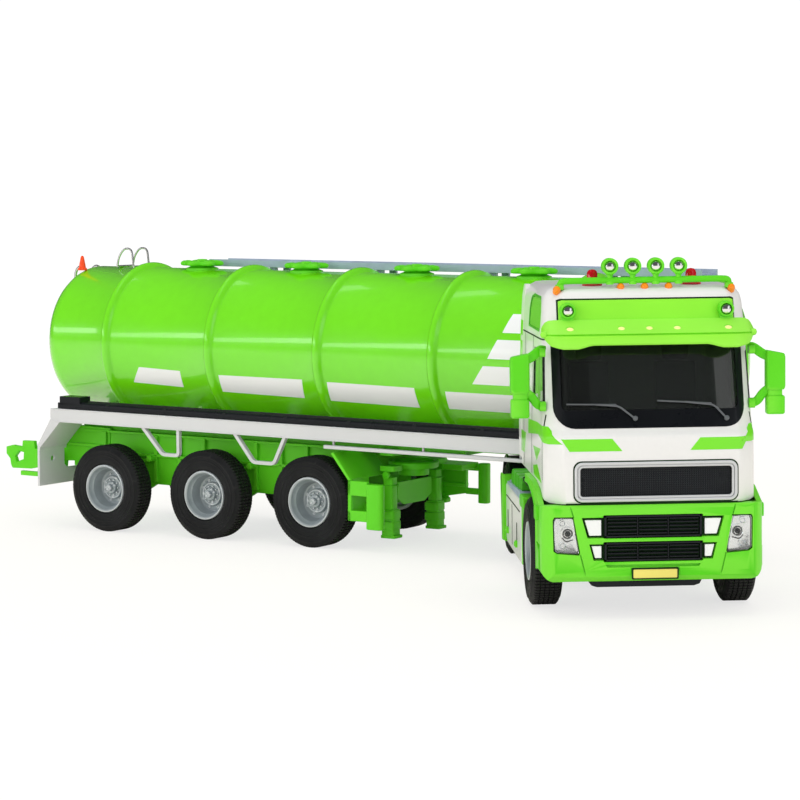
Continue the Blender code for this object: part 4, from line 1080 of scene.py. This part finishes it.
def wipers(bm):
    """Two blades with their arms, lying on the glass."""
    def on_glass(x, z, off):
        return (x, level_of(FRONT_LINE, z) - off, z)
    for blade, arm in ((((-18.3, 46.9), (-7.4, 46.7)), ((-12.0, 46.8), (-6.9, 46.4), (-3.4, 43.6))),
                       (((1.6, 47.4), (13.4, 46.7)), ((7.6, 47.1), (13.9, 46.4), (16.6, 43.4)))):
        sweep(bm, [on_glass(x, z, 0.42) for x, z in blade], strip(0.32, 0.5), up=(0, 1, 0))
        sweep(bm, eased([on_glass(x, z, 0.75) for x, z in arm], 1.0, 4), strip(0.42, 0.3), up=(0, 1, 0))
        x, z = arm[-1]
        turned(bm, [(0.55, 0.0), (0.55, 0.7), (0.3, 0.9)], on_glass(x, z, 0.1), (0, -1, 0.25), 16)


def dashboard_detail(bm):
    """Vents and a binnacle on top of the dashboard, seen through the glass."""
    for x in (-11.0, 2.0, 11.5):
        prism(bm, [(x - 3.0, 40.4), (x + 3.0, 40.4), (x + 2.6, 42.6), (x - 2.6, 42.6)], -92.6, -88.0, "y")
    sweep(bm, [(-19.0, -92.4, 41.4), (19.0, -92.4, 41.4)], circle(0.8, 12))
    for side in (-1, 1):
        prism(bm, rounded(3.0, 3.0, 1.0, (side * 10.0, 57.5), 3), -67.6, -66.2, "y")


def deflector(bm, side, start=-44.6, stop=-38.8, low=30.2, high=71.4, lift=0.0, thick=1.3):
    """The upright plate behind the cab's rear corner, following the lean of its side."""
    rings = []
    for z in [low] + [z for z in (38.0, 50.0, 59.0, 64.0, 68.6, 70.2) if low < z < high] + [high]:
        face = side * (level_of(SIDE_LINE, min(z, 69.4)) + lift)
        end = stop - 1.6 * max(0.0, z - 69.8)
        rings.append([(face, start, z), (face, end, z), (face - side * thick, end, z),
                      (face - side * thick, start, z)])
    loft(bm, rings)


def deflector_bands(bm, side):
    for low, high in ((59.3, 62.8), (49.2, 58.0)):
        deflector(bm, side, -44.2, -39.2, low, high, 0.08, 0.5)


cab_body()
windows()
markings()
pair("cab_deflector", "tractor", WHITE, deflector, bevel=0.25)
pair("deflector_bands", "tractor", GREEN_DECAL, deflector_bands)
piece("grille_frame", "tractor", SILVER, grille_frame, nodes=("radiator_grille",))
piece("grille_mesh", "tractor", BLACK, grille_mesh)
piece("wipers", "tractor", GREY, wipers, bevel=0.05)
piece("dashboard_detail", "tractor", BLACK, dashboard_detail, bevel=0.2)


# ---------------------------------------------------------------- visor, roof and mirrors

VISOR_HALF = 23.2


def visor(bm):
    """A long sun visor, lofted across the cab with a stepped lower edge and rounded ends."""
    rings = []
    stations = (0.0, 6.0, 12.4, 13.4, 14.6, 15.8, 17.5, 19.0, 20.4, 21.6, 22.4, 22.9, VISOR_HALF)
    for x in [-s for s in reversed(stations[1:])] + list(stations):
        reach = abs(x)
        low = level_of(((0, 59.7), (12.8, 59.7), (15.6, 58.9), (19.4, 58.9), (21.6, 59.6), (22.6, 60.6),
                        (VISOR_HALF, 61.8)), reach)
        top = level_of(((0, 65.0), (21.4, 65.0), (22.6, 64.4), (VISOR_HALF, 63.2)), reach)
        lip = level_of(((0, -98.4), (19.0, -98.2), (21.4, -97.3), (22.6, -95.6), (VISOR_HALF, -94.2)),
                       reach)
        crease = max(low + 0.6, min(61.8, top - 0.5))
        rings.append([(x, -91.2, top), (x, -92.0, top + 0.05), (x, lip + 0.7, crease + 0.35),
                      (x, lip + 1.0, crease + 0.1), (x, lip + 0.15, crease - 0.1), (x, lip, low + 0.4),
                      (x, lip + 0.3, low), (x, lip + 0.9, low + 0.1),
                      (x, lip + 2.2, crease - 0.2), (x, -93.6, top - 1.8), (x, -91.0, top - 1.6)])
    loft(bm, rings)


def visor_knobs(bm):
    for side in (-1, 1):
        turned(bm, [(0.7, -0.6), (0.8, 0.0), (0.6, 0.5), (0.2, 0.7)], (side * 23.0, -94.6, 62.0),
               (side, 0, 0), 16)


def header_housings(bm):
    for side in (-1, 1):
        turned(bm, [(1.75, 2.6), (1.75, -0.9), (1.6, -1.15), (1.3, -1.15), (1.2, -0.8), (1.2, 2.6)],
               (side * HEADER_LAMP_X, -91.7, 67.0), (0, 1, 0), 32)
        arm = ((-1.5, 66.4), (1.5, 66.4), (1.2, 64.4), (-1.2, 64.4))
        prism(bm, [(side * (HEADER_LAMP_X + u), v) for u, v in arm], -92.2, -90.6, "y")


def marker_lights(bm):
    for x in (-19.3, -5.2, 0.1, 5.4, 19.3):
        z = 71.55 if abs(x) > 10 else 72.0
        turned(bm, [(0.86, -0.9), (0.88, -0.1), (0.7, 0.45), (0.4, 0.75), (0.02, 0.88)], (x, -88.0, z),
               (0, -0.75, 0.65), 18)
        box(bm, (x - 0.55, -88.2, z - 0.6), (x + 0.55, -86.0, z + 0.35))


def light_bar(bm):
    """The roof bar on turned-down ends, with a round lamp shell on each tapering stalk."""
    path = [(-18.6, -87.2, 72.3), (-18.3, -87.8, 73.3), (-16.6, -88.0, 73.4), (16.9, -88.0, 73.5),
            (18.6, -87.8, 73.4), (18.9, -87.2, 72.3)]
    sweep(bm, eased(path, 0.9, 4), circle(0.72, 14), up=(0, 1, 0))
    for x, y, z in BAR_LAMPS:
        turned(bm, [(1.85, 0.95), (1.85, -0.8), (1.7, -1.0), (1.3, -1.0), (1.2, -0.7), (1.2, 0.3),
                    (0.02, 0.6)], (x, y, z), (0, 1, 0), 36)
        rings = []
        for half, deep, z in ((1.25, 0.75, 75.3), (0.6, 0.5, 74.4), (0.7, 0.6, 73.6), (0.95, 0.75, 72.9),
                              (0.8, 0.7, 72.5)):
            rings.append([(x + u, -88.0 + v, z) for u, v in rounded(half, deep, deep * 0.8, steps=3)])
        loft(bm, rings)
    for x in (-18.6, 18.9):
        prism(bm, rounded(0.9, 1.1, 0.5, (x, -87.1), 3), 71.5, 72.6, "z")


def beacon(bm, side):
    turned(bm, [(2.25, 0.0), (2.25, 0.45), (1.9, 0.8), (1.35, 0.9), (1.2, 1.0), (1.2, 2.6), (1.0, 3.2),
                (0.6, 3.5), (0.02, 3.6)], (side * 11.0, -84.0, 72.2), (0, 0, 1), 32)


def mirror_housing(bm, side):
    """The main and kerb mirrors in one moulding, on two arms from the cab."""
    x = side * 28.1
    for low, high, half, deep, slope in ((49.2, 57.5, 2.1, 1.7, 0.5), (43.8, 47.9, 2.0, 1.6, 0.0)):
        rings = []
        for share, shrink in ((0.0, 0.25), (0.06, 0.05), (0.12, 0.0), (0.9, 0.0), (0.97, 0.1), (1.0, 0.3)):
            z = low + (high - low) * share
            ring = rounded(half - shrink, deep - shrink, 0.6, steps=3)
            rings.append([(x + u, -92.5 + v, z - slope * side * u * share * 0.4) for u, v in ring])
        loft(bm, rings)
    prism(bm, rounded(1.6, 1.1, 0.5, (x - side * 0.1, -92.5), 3), 47.6, 49.6, "z")
    for points, width in ((((x - side * 1.2, -92.3, 56.4), (side * 25.4, -91.9, 57.0),
                            (side * 23.4, -91.2, 58.6), (side * 22.6, -90.6, 58.4)), 1.05),
                          (((x - side * 1.4, -92.4, 49.4), (side * 25.4, -92.2, 48.4),
                            (side * 24.3, -91.8, 46.6), (side * 23.2, -91.2, 46.2)), 0.95)):
        sweep(bm, eased(points, 1.2, 4), rounded(width, 0.65, 0.4, steps=3), up=(0, 1, 0))
    for z, tall in ((58.0, 1.9), (46.2, 2.1)):
        slab(bm, rounded(1.5, tall / 2, 0.6, (-91.3, z), 3), side, 22.4, 23.7)


def mirror_glass(bm, side):
    x = side * 28.1
    for z, tall, half in ((53.3, 3.5, 1.65), (45.9, 1.6, 1.55)):
        prism(bm, rounded(half, tall, 0.5, (x, z), 4), -90.84, -90.6, "y")


piece("sun_visor", "tractor", PALE_GREEN, visor, nodes=("header_visor",), angle=28)
piece("visor_knobs", "tractor", PALE_GREEN, visor_knobs)
lathe_set("visor_lights", YELLOW_LENS, [(0.85, -0.3), (0.85, 0.12), (0.62, 0.3), (0.02, 0.36)],
          VISOR_LIGHTS, VISOR_SLOPE, 20)
lathe_set("visor_light_rims", GREEN, [(1.15, -0.4), (1.15, 0.02), (1.03, 0.16), (0.9, 0.16), (0.9, -0.4)],
          VISOR_LIGHTS, VISOR_SLOPE, 24, closed=True)
piece("header_lamp_housings", "tractor", GREEN, header_housings)
lathe_set("header_lamp_lenses", CHROME,
          [(1.18, 1.0), (1.18, -0.3), (0.95, -0.7), (0.5, -0.92), (0.02, -1.0)],
          [(-HEADER_LAMP_X, -92.2, 67.0), (HEADER_LAMP_X, -92.2, 67.0)], (0, 1, 0), 28)
piece("marker_lights", "tractor", AMBER, marker_lights)
piece("roof_light_bar", "tractor", GREEN, light_bar, nodes=("light_bar",))
lathe_set("roof_bar_lenses", CHROME,
          [(1.18, 0.2), (1.18, -0.55), (0.95, -0.85), (0.5, -1.05), (0.02, -1.1)],
          BAR_LAMPS, (0, 1, 0), 28)
pair("beacon", "tractor", RED, beacon, node="roof_beacon")
pair("door_mirror", "tractor", GREEN, mirror_housing, node="mirror", bevel=0.1)
pair("door_mirror_glass", "tractor", CHROME, mirror_glass)


# ---------------------------------------------------------------- bumper and lamps

FRONT = -99.8
LAMP = [(17.5, 22.4), (21.3, 22.4), (21.6, 21.8), (21.5, 15.4), (20.8, 14.9), (16.4, 14.5), (16.2, 15.0)]
UPPER_PANEL = [(-15.3, 22.2), (15.3, 22.2), (14.1, 18.2), (-14.1, 18.2)]
LOWER_PANEL = [(-13.7, 16.4), (13.7, 16.4), (12.8, 13.3), (-12.8, 13.3)]


def mirrored(outline, side):
    return [(side * u, v) for u, v in outline]


def bumper():
    """The lower bodywork: rounded corners, the front wheel arches, and everything let into its face."""
    side_view = [(FRONT + 0.5, 9.4), (FRONT + 1.6, 8.3), (-92.6, 8.3), (-90.0, 9.6), (-89.6, 16.0),
                 (-89.9, 21.8), (-86.6, 24.4), (-81.0, 26.2), (-72.6, 27.4), (-66.0, 27.0), (-65.0, 28.7),
                 (-80.0, 28.7), (-88.2, 27.5), (-95.4, 25.1), (FRONT + 0.6, 25.1), (FRONT, 24.3),
                 (FRONT, 10.8)]
    plan = rounded(24.5, 40.0, 4.2, (0, FRONT + 40.0), 7)
    face = rounded(24.5, 13.0, 3.6, (0, 21.2), 7)
    body = raw_object("bumper_body", drawn(lambda bm: prism(bm, side_view, -24.5, 24.5, "x")))
    carve(body, "INTERSECT", drawn(lambda bm: prism(bm, plan, 0.0, 40.0, "z")),
          drawn(lambda bm: prism(bm, face, -110.0, -40.0, "y")))
    carve(body, "DIFFERENCE", drawn(lambda bm: box(bm, (-23.3, -96.6, 0.0), (23.3, -50.0, 40.0))))

    def recess(outline, back=-98.4):
        return drawn(lambda bm: prism(bm, outline, -103.0, back, "y"))

    openings = [recess(shrunk(UPPER_PANEL, -0.25)), recess(shrunk(LOWER_PANEL, -0.25)),
                recess(rounded(10.9, 2.55, 0.3, (0, 20.4)), -97.6),
                recess(rounded(10.9, 2.2, 0.3, (0, 14.9)), -97.6),
                recess([(-10.4, 12.1), (10.4, 12.1), (10.0, 11.5), (-10.0, 11.5)], -99.0),
                recess(rounded(5.3, 1.35, 0.15, PLATE_MIDDLE), -99.5)]
    for side in (-1, 1):
        openings.append(recess(mirrored(shrunk(LAMP, -0.25), side), -97.6))
        for line in (seam(18.2, 25.4, 17.3, 22.4, 0.3), seam(15.9, 14.4, 14.3, 7.6, 0.3)):
            openings.append(recess(mirrored(line, side), -99.35))
        near, far = sorted((side * 24.1, side * 26.0))
        openings.append(drawn(lambda bm: box(bm, (near, -96.4, 10.6), (far, -91.6, 16.4))))
    carve(body, "DIFFERENCE", *openings)
    dress(body, "tractor", GREEN, nodes=("front_bumper",), bevel=0.14, angle=30)


def bumper_recess_backs(bm):
    """Dark ground behind the lamps and panels, seen as the line round each of them."""
    for outline in (UPPER_PANEL, LOWER_PANEL):
        prism(bm, shrunk(outline, -0.1), -98.7, -98.3, "y")
    for side in (-1, 1):
        prism(bm, mirrored(shrunk(LAMP, -0.2), side), -98.2, -97.5, "y")


def bumper_lamp_panels(bm):
    """The white auxiliary lamps either side of both intakes."""
    for side in (-1, 1):
        for outer_top, outer_low, high, low in ((14.9, 13.9, 21.9, 18.5), (13.4, 12.7, 16.2, 13.6)):
            outline = [(11.3, high), (outer_top, high), (outer_low, low), (11.3, low)]
            prism(bm, mirrored(outline, side), -99.55, -98.5, "y")


def intakes(bm):
    """Two black grilles of stacked slats in three columns, each in a thin frame."""
    for low, high, slats in ((18.1, 22.8, 5), (12.9, 16.9, 4)):
        box(bm, (-10.7, -98.6, low), (10.7, -97.9, high))
        for x in (-10.6, 10.2):
            box(bm, (x, -99.9, low), (x + 0.4, -98.4, high))
        for z in (low, high - 0.35):
            box(bm, (-10.6, -99.9, z), (10.6, -98.4, z + 0.35))
        pitch = (high - low - 0.7) / slats
        for slat in range(slats):
            z = low + 0.35 + pitch * (slat + 0.5)
            for start, stop in ((-9.9, -3.6), (-3.1, 3.1), (3.6, 9.9)):
                prism(bm, [(-99.75, z - 0.12), (-99.75, z + 0.16), (-98.4, z + 0.3), (-98.4, z - 0.22)],
                      start, stop, "x")
        for x in (-3.35, 3.35):
            box(bm, (x - 0.14, -99.5, low), (x + 0.14, -98.4, high))


def headlamp_reflectors(bm):
    for side in (-1, 1):
        prism(bm, mirrored(shrunk(LAMP, 0.35), side), -98.5, -98.1, "y")
        for x, z, radius in ((18.6, 18.9, 1.5), (19.6, 16.3, 0.9), (19.7, 21.1, 0.8)):
            turned(bm, [(radius, 0.0), (radius, -0.35), (radius * 0.75, -0.35), (radius * 0.4, 0.0)],
                   (side * x, -98.4, z), (0, 1, 0), 28)


def headlamp_bulbs(bm):
    for side in (-1, 1):
        turned(bm, [(0.62, 0.0), (0.62, -0.6), (0.4, -0.85), (0.02, -0.95)], (side * 18.6, -98.4, 18.9),
               (0, 1, 0), 20)
        sweep(bm, eased([(side * 17.6, -98.6, 17.6), (side * 19.0, -98.8, 17.2),
                         (side * 19.8, -98.6, 18.2)], 0.5, 3), circle(0.16, 8), up=(0, 1, 0))


def headlamp_lens(bm, side):
    outline = mirrored(LAMP, side)
    rings = []
    for shrink, y in ((0.0, -98.9), (0.0, -99.5), (0.12, -99.75), (0.4, -99.88)):
        rings.append([(x, y, z) for x, z in shrunk(outline, shrink)])
    loft(bm, rings)


def number_plate(bm):
    prism(bm, rounded(5.0, 1.15, 0.2, PLATE_MIDDLE), -99.95, -99.4, "y")


def plate_border(bm):
    rim = ((5.1, 1.25, -99.5), (5.1, 1.25, -100.02), (4.8, 0.95, -100.02), (4.8, 0.95, -99.5))
    face_frame(bm, rim, 0.2, PLATE_MIDDLE, 5)


def under_lip(bm):
    outline = [(-14.0, 8.6), (11.0, 8.6), (10.4, 7.4), (9.2, 7.0), (-12.2, 7.0), (-13.4, 7.4)]
    prism(bm, outline, -98.2, -92.0, "y")
    box(bm, (-9.5, -96.0, 8.0), (9.5, -90.0, 13.0))


def arch_lips(bm):
    """The rolled edge of each front wheel arch, and the step block at the bumper's upper corner."""
    for side in (-1, 1):
        line = [(-90.0, 10.2), (-89.7, 16.0), (-90.0, 21.8), (-86.7, 24.5), (-81.0, 26.3), (-72.6, 27.5),
                (-66.0, 27.2)]
        path = eased([(side * 24.15, y, z) for y, z in line], 2.0, 4)
        sweep(bm, path, rounded(0.5, 0.55, 0.3, steps=3), up=(1, 0, 0))
        slab(bm, rounded(2.2, 1.5, 0.6, (-93.0, 23.0), 4), side, 23.9, 25.1)
        slab(bm, [(-95.6, 10.8), (-95.6, 15.2), (-89.9, 16.4), (-89.9, 10.6)], side, 23.9, 24.65)


bumper()
piece("bumper_recesses", "tractor", SHADOW_LINE, bumper_recess_backs)
piece("bumper_lamp_panels", "tractor", DECAL, bumper_lamp_panels, bevel=0.1)
piece("bumper_grilles", "tractor", BLACK, intakes, nodes=("bumper_intake",), bevel=0.04)
piece("headlamp_reflectors", "tractor", CHROME, headlamp_reflectors)
piece("headlamp_bulbs", "tractor", BLACK, headlamp_bulbs)
pair("headlamp_lens", "tractor", LENS, headlamp_lens, node="headlamp")
piece("number_plate", "tractor", YELLOW, number_plate, bevel=0.05)
piece("number_plate_border", "tractor", SHADOW_LINE, plate_border)
piece("under_bumper_lip", "tractor", BLACK, under_lip, bevel=0.15)
piece("wheel_arch_lips", "tractor", GREEN, arch_lips, bevel=0.08)


# ---------------------------------------------------------------- side fairings

def fairing_body(bm, side):
    """The white side panel between the axles, rounded at its corners."""
    outline = [(-48.0, 5.2), (-47.0, 4.9), (-11.0, 5.2), (-8.6, 6.0), (-8.2, 20.0), (-44.4, 20.2),
               (-48.0, 19.0)]
    slab(bm, outline, side, 14.5, 23.9)


def fairing_front(bm, side):
    """The green front of the fairing with its stepped top and lower return."""
    slab(bm, [(-57.6, 5.4), (-48.1, 4.9), (-48.1, 19.2), (-57.6, 19.8)], side, 14.0, 23.8)
    slab(bm, rounded(4.6, 1.5, 0.7, (-53.4, 20.6), 4), side, 19.0, 24.3)
    slab(bm, [(-8.4, 5.4), (-5.4, 5.2), (-2.2, 21.0), (-3.4, 22.2), (-8.4, 22.4)], side, 24.2, 24.8)
    slab(bm, [(-9.0, 5.2), (-8.0, 5.2), (-8.0, 22.3), (-9.0, 22.3)], side, 14.0, 24.4)


def fairing_steps(bm, side):
    """Two grey tread plates with raised bars, on top of the fairing."""
    low, high = sorted((side * 14.8, side * 23.9))
    prism(bm, [(-44.2, 20.2), (-12.0, 20.3), (-13.0, 21.0), (-43.8, 22.0), (-48.6, 20.9), (-48.8, 19.4)],
          low, high, "x")
    for index in range(15):
        y = -43.4 + 2.15 * index
        top = 22.0 - (y + 43.8) / 30.8
        box(bm, (low + 0.6, y, top - 0.3), (high - 0.5, y + 0.9, top + 0.22))


def fairing_blocks(bm, side):
    """The dark green boxes behind the cab, standing on the tread plate."""
    low, high = sorted((side * 15.6, side * 23.4))
    prism(bm, [(-44.0, 22.0), (-18.0, 21.0), (-18.6, 23.6), (-20.6, 24.9), (-43.0, 25.1), (-44.4, 24.0)],
          low, high, "x")
    for y in (-38.0, -31.0, -24.0):
        box(bm, (low - 0.1, y, 21.0), (high + 0.2, y + 0.8, 25.2))


def latches(bm, side):
    """Green catches, each under the slot it turns in."""
    x = side * 23.9
    for y, z in LATCHES:
        near, far = sorted((x - side * 0.4, x + side * 0.5))
        prism(bm, rounded(1.4, 0.8, 0.4, (y, z - 2.2), 3), near, far, "x")
        turned(bm, [(0.7, 0.0), (0.7, 0.5), (0.45, 0.75)], (x, y, z - 2.2), (side, 0, 0), 18)


def latch_slots(bm, side):
    near, far = sorted((side * 23.6, side * 23.98))
    for y, z in LATCHES:
        prism(bm, rounded(0.6, 2.2, 0.5, (y, z + 0.8), 4), near, far, "x")
    prism(bm, rounded(17.6, 0.14, 0.1, (-27.8, 17.2), 2), near, far, "x")
    prism(bm, rounded(0.14, 5.0, 0.1, (-25.0, 11.6), 2), near, far, "x")


pair("fairing", "tractor", WHITE, fairing_body, node="side_fairing", bevel=0.45, segments=3)
pair("fairing_front", "tractor", GREEN, fairing_front, bevel=0.3)
pair("fairing_tread", "tractor", GALVANISED, fairing_steps, bevel=0.1)
pair("fairing_box", "tractor", DARK_GREEN, fairing_blocks, bevel=0.35)
pair("fairing_latches", "tractor", GREEN, latches, bevel=0.1)
pair("fairing_slots", "tractor", SHADOW_LINE, latch_slots)


# ---------------------------------------------------------------- tractor chassis

def tractor_frame(bm):
    """Two channel beams with cross tubes and the coupling's pedestal."""
    pair_of_boxes(bm, (5.2, -90.0, 14.6), (8.4, 26.5, 15.3))
    pair_of_boxes(bm, (7.4, -90.0, 15.0), (8.4, 26.5, 18.2))
    pair_of_boxes(bm, (5.2, -90.0, 17.9), (8.4, 26.5, 18.6))
    for y in (-86.0, -60.0, -44.0, -28.0, -12.0, 14.0, 24.0):
        turned(bm, [(1.1, -7.6), (1.1, 7.6)], (0, y, 16.6), (1, 0, 0), 20)
    for y in range(-52, -12, 8):
        for x in (-8.5, 8.5):
            turned(bm, [(0.55, -0.3), (0.55, 0.3)], (x, y, 16.6), (1, 0, 0), 12)
    box(bm, (-12.0, 25.2, 13.6), (12.0, 26.9, 18.5))
    box(bm, (-6.0, -7.0, 18.4), (6.0, 7.0, 22.2))
    pair_of_boxes(bm, (5.6, -8.0, 18.2), (7.6, 8.0, 20.4))


def axle_blocks(bm):
    prism(bm, [(-81.4, 9.6), (-70.6, 9.6), (-69.0, 15.4), (-83.0, 15.4)], -8.9, 8.9, "x")
    prism(bm, [(-4.0, 9.05), (14.0, 9.05), (15.5, 15.3), (-5.5, 15.3)], -7.9, 7.9, "x")


def axle_bores(bm):
    for y in (FRONT_AXLE_Y, DRIVE_AXLE_Y):
        turned(bm, [(1.08, -16.0), (1.08, 16.0)], (0, y, TYRE_RADIUS), (1, 0, 0), 24)


def driveline(bm):
    """The propeller shaft, gearbox and the bowl of the driven axle."""
    turned(bm, [(1.0, -50.0), (1.0, -8.0)], (0, 0, 13.2), (0, 1, 0), 20)
    turned(bm, [(2.8, -66.0), (3.6, -64.0), (3.6, -55.0), (2.2, -50.0)], (0, 0, 13.6), (0, 1, 0), 28)
    turned(bm, [(1.6, -9.0), (3.2, -7.6), (4.0, -5.2)], (0, 0, 12.6), (0, 1, 0), 28)


def mudguards(bm):
    """Arched guards over the driving wheels, with rolled edges."""
    def arch(x, radius, angle):
        return x, DRIVE_AXLE_Y + radius * cos(angle), TYRE_RADIUS + radius * sin(angle)
    angles = [radians(degrees) for degrees in range(24, 157, 6)]
    for side in (-1, 1):
        near, far = sorted((side * 11.0, side * 22.4))
        section = ((near, 12.75), (far, 12.75), (far, 13.25), (near, 13.25))
        loft(bm, [[arch(x, radius, angle) for x, radius in section] for angle in angles])
        for x in (side * 22.2, side * 11.3):
            sweep(bm, [arch(x, 13.25, angle) for angle in angles], circle(0.35, 10), up=(1, 0, 0))


def mud_flaps(bm):
    pair_of_boxes(bm, (11.2, 18.6, 5.0), (22.0, 19.1, 18.4))
    pair_of_boxes(bm, (8.2, 18.0, 16.0), (11.6, 18.8, 17.4))


def catwalk(bm):
    """The grating behind the cab, on two bearers."""
    box(bm, (-12.0, -42.0, 19.2), (12.0, -24.0, 19.6))
    for index in range(10):
        y = -41.4 + 1.85 * index
        box(bm, (-11.8, y, 19.4), (11.8, y + 0.6, 20.0))
    pair_of_boxes(bm, (9.6, -40.0, 18.4), (10.6, -26.0, 19.4))


def air_tanks(bm):
    for side in (-1, 1):
        turned(bm, [(0.02, -46.0), (2.0, -45.8), (2.9, -44.8), (2.9, -27.2), (2.0, -26.2), (0.02, -26.0)],
               (side * 11.6, 0, 13.0), (0, 1, 0), 28)


piece("tractor_beams", "tractor", BLACK, tractor_frame, nodes=("tractor_chassis",), bevel=0.1)
cut_piece("tractor_axle_blocks", "tractor", BLACK, axle_blocks, axle_bores, bevel=0.2)
piece("tractor_driveline", "tractor", STEEL, driveline)
piece("tractor_mudguards", "tractor", BLACK, mudguards, bevel=0.06)
piece("tractor_mud_flaps", "tractor", RUBBER, mud_flaps, bevel=0.1)
lathe_set("tractor_tail_lamps", RED, [(0.8, 0.0), (0.8, 0.35), (0.48, 0.55)],
          [(x, 26.8, 16.2) for x in (-10.9, -9.0, -7.1, 7.1, 9.0, 10.9)], (0, 1, 0), 18)
piece("tractor_catwalk", "tractor", GALVANISED, catwalk, bevel=0.08)
piece("tractor_air_tanks", "tractor", SILVER, air_tanks)


# ---------------------------------------------------------------- camera, floor and light

FLOOR_REACH = 9000.0
FLOOR_TINT = (0.97, 0.91, 0.82, 1.0)
FLOOR_FADE = (("From Min", 0.16), ("From Max", 0.75), ("To Min", 0.68), ("To Max", 1.0))
WHITE_GLOW = 1.05
DIFFUSE_SKY = 0.85
GLOSSY_SKY = 0.10
LENS_MM = 112.539
CAMERA_PLACE = (-0.07922, -0.63529, 0.08264)
CAMERA_TURN = (85.427, 0.746, -2.689)


def floor():
    """A white sweep: it takes shadows near the truck and fades to plain white further off."""
    obj = raw_object("floor", drawn(lambda bm: box(bm, (-FLOOR_REACH, -FLOOR_REACH, -30.0),
                                                   (FLOOR_REACH, FLOOR_REACH, 0.0))))
    material = bpy.data.materials.new("floor_white")
    material.use_nodes = True
    shader = material.node_tree.nodes["Principled BSDF"]
    shader.inputs["Base Color"].default_value = FLOOR_TINT
    shader.inputs["Roughness"].default_value = 0.55
    shader.inputs["Specular IOR Level"].default_value = 0.2
    nodes, links = material.node_tree.nodes, material.node_tree.links
    place = nodes.new("ShaderNodeTexCoord")
    distance = nodes.new("ShaderNodeVectorMath")
    distance.operation = "LENGTH"
    links.new(place.outputs["Object"], distance.inputs[0])
    fade = nodes.new("ShaderNodeMapRange")
    for key, value in FLOOR_FADE:
        fade.inputs[key].default_value = value
    links.new(distance.outputs["Value"], fade.inputs["Value"])
    seen = nodes.new("ShaderNodeMath")
    seen.operation = "MULTIPLY"
    links.new(fade.outputs["Result"], seen.inputs[0])
    links.new(nodes.new("ShaderNodeLightPath").outputs["Is Camera Ray"], seen.inputs[1])
    white = nodes.new("ShaderNodeEmission")
    white.inputs["Strength"].default_value = WHITE_GLOW
    blend = nodes.new("ShaderNodeMixShader")
    links.new(seen.outputs["Value"], blend.inputs["Fac"])
    links.new(shader.outputs["BSDF"], blend.inputs[1])
    links.new(white.outputs["Emission"], blend.inputs[2])
    links.new(blend.outputs["Shader"], nodes["Material Output"].inputs["Surface"])
    obj.data.materials.append(material)


def softbox(name, place, aim, size, power, reflected=False):
    light = bpy.data.lights.new(name, "AREA")
    light.shape = "RECTANGLE"
    light.size, light.size_y = size
    light.energy = power
    obj = bpy.data.objects.new(name, light)
    bpy.context.scene.collection.objects.link(obj)
    obj.location = place
    obj.rotation_euler = (Vector(aim) - Vector(place)).to_track_quat("-Z", "Y").to_euler()
    obj.visible_glossy = reflected


def daylight():
    """A sky that is white to the camera, dim in reflections and a soft grey for all other light."""
    world = bpy.data.worlds.new("studio")
    bpy.context.scene.world = world
    world.use_nodes = True
    nodes, links = world.node_tree.nodes, world.node_tree.links
    background = nodes["Background"]
    background.inputs["Color"].default_value = (1, 1, 1, 1)
    path = nodes.new("ShaderNodeLightPath")
    level = None
    for ray, value in (("Is Glossy Ray", GLOSSY_SKY), ("Is Camera Ray", WHITE_GLOW)):
        step = nodes.new("ShaderNodeMix")
        step.inputs["A"].default_value = DIFFUSE_SKY
        step.inputs["B"].default_value = value
        if level is not None:
            links.new(level, step.inputs["A"])
        links.new(path.outputs[ray], step.inputs["Factor"])
        level = step.outputs["Result"]
    links.new(level, background.inputs["Strength"])


def camera():
    data = bpy.data.cameras.new("camera")
    data.lens = LENS_MM
    data.sensor_width = 36.0
    data.clip_start, data.clip_end = 0.01, 50.0
    obj = bpy.data.objects.new("camera", data)
    bpy.context.scene.collection.objects.link(obj)
    obj.location = CAMERA_PLACE
    obj.rotation_euler = [radians(a) for a in CAMERA_TURN]
    bpy.context.scene.camera = obj


floor()
daylight()
camera()
softbox("top_box", (-0.10, -0.05, 0.75), (-0.03, 0.02, 0.02), (0.9, 0.7), 1.3)
softbox("left_box", (-0.75, -0.55, 0.30), (-0.05, 0.0, 0.03), (0.7, 0.5), 1.1)
softbox("front_box", (0.25, -0.85, 0.35), (0.0, -0.06, 0.03), (0.7, 0.45), 1.2)
softbox("back_box", (0.10, 0.95, 0.35), (-0.05, 0.05, 0.06), (1.8, 0.7), 1.8)
softbox("strip_left", (-0.906, -0.266, 0.205), (-0.06, 0.03, 0.05), (1.3, 0.085), 1.15, True)
softbox("strip_top", (-0.10, 0.0, 0.95), (-0.03, 0.02, 0.02), (0.9, 0.12), 0.4, True)
softbox("strip_front", (0.55, -0.75, 0.30), (0.0, -0.06, 0.04), (0.30, 0.5), 0.5, True)
bpy.context.scene.view_settings.view_transform = "Standard"
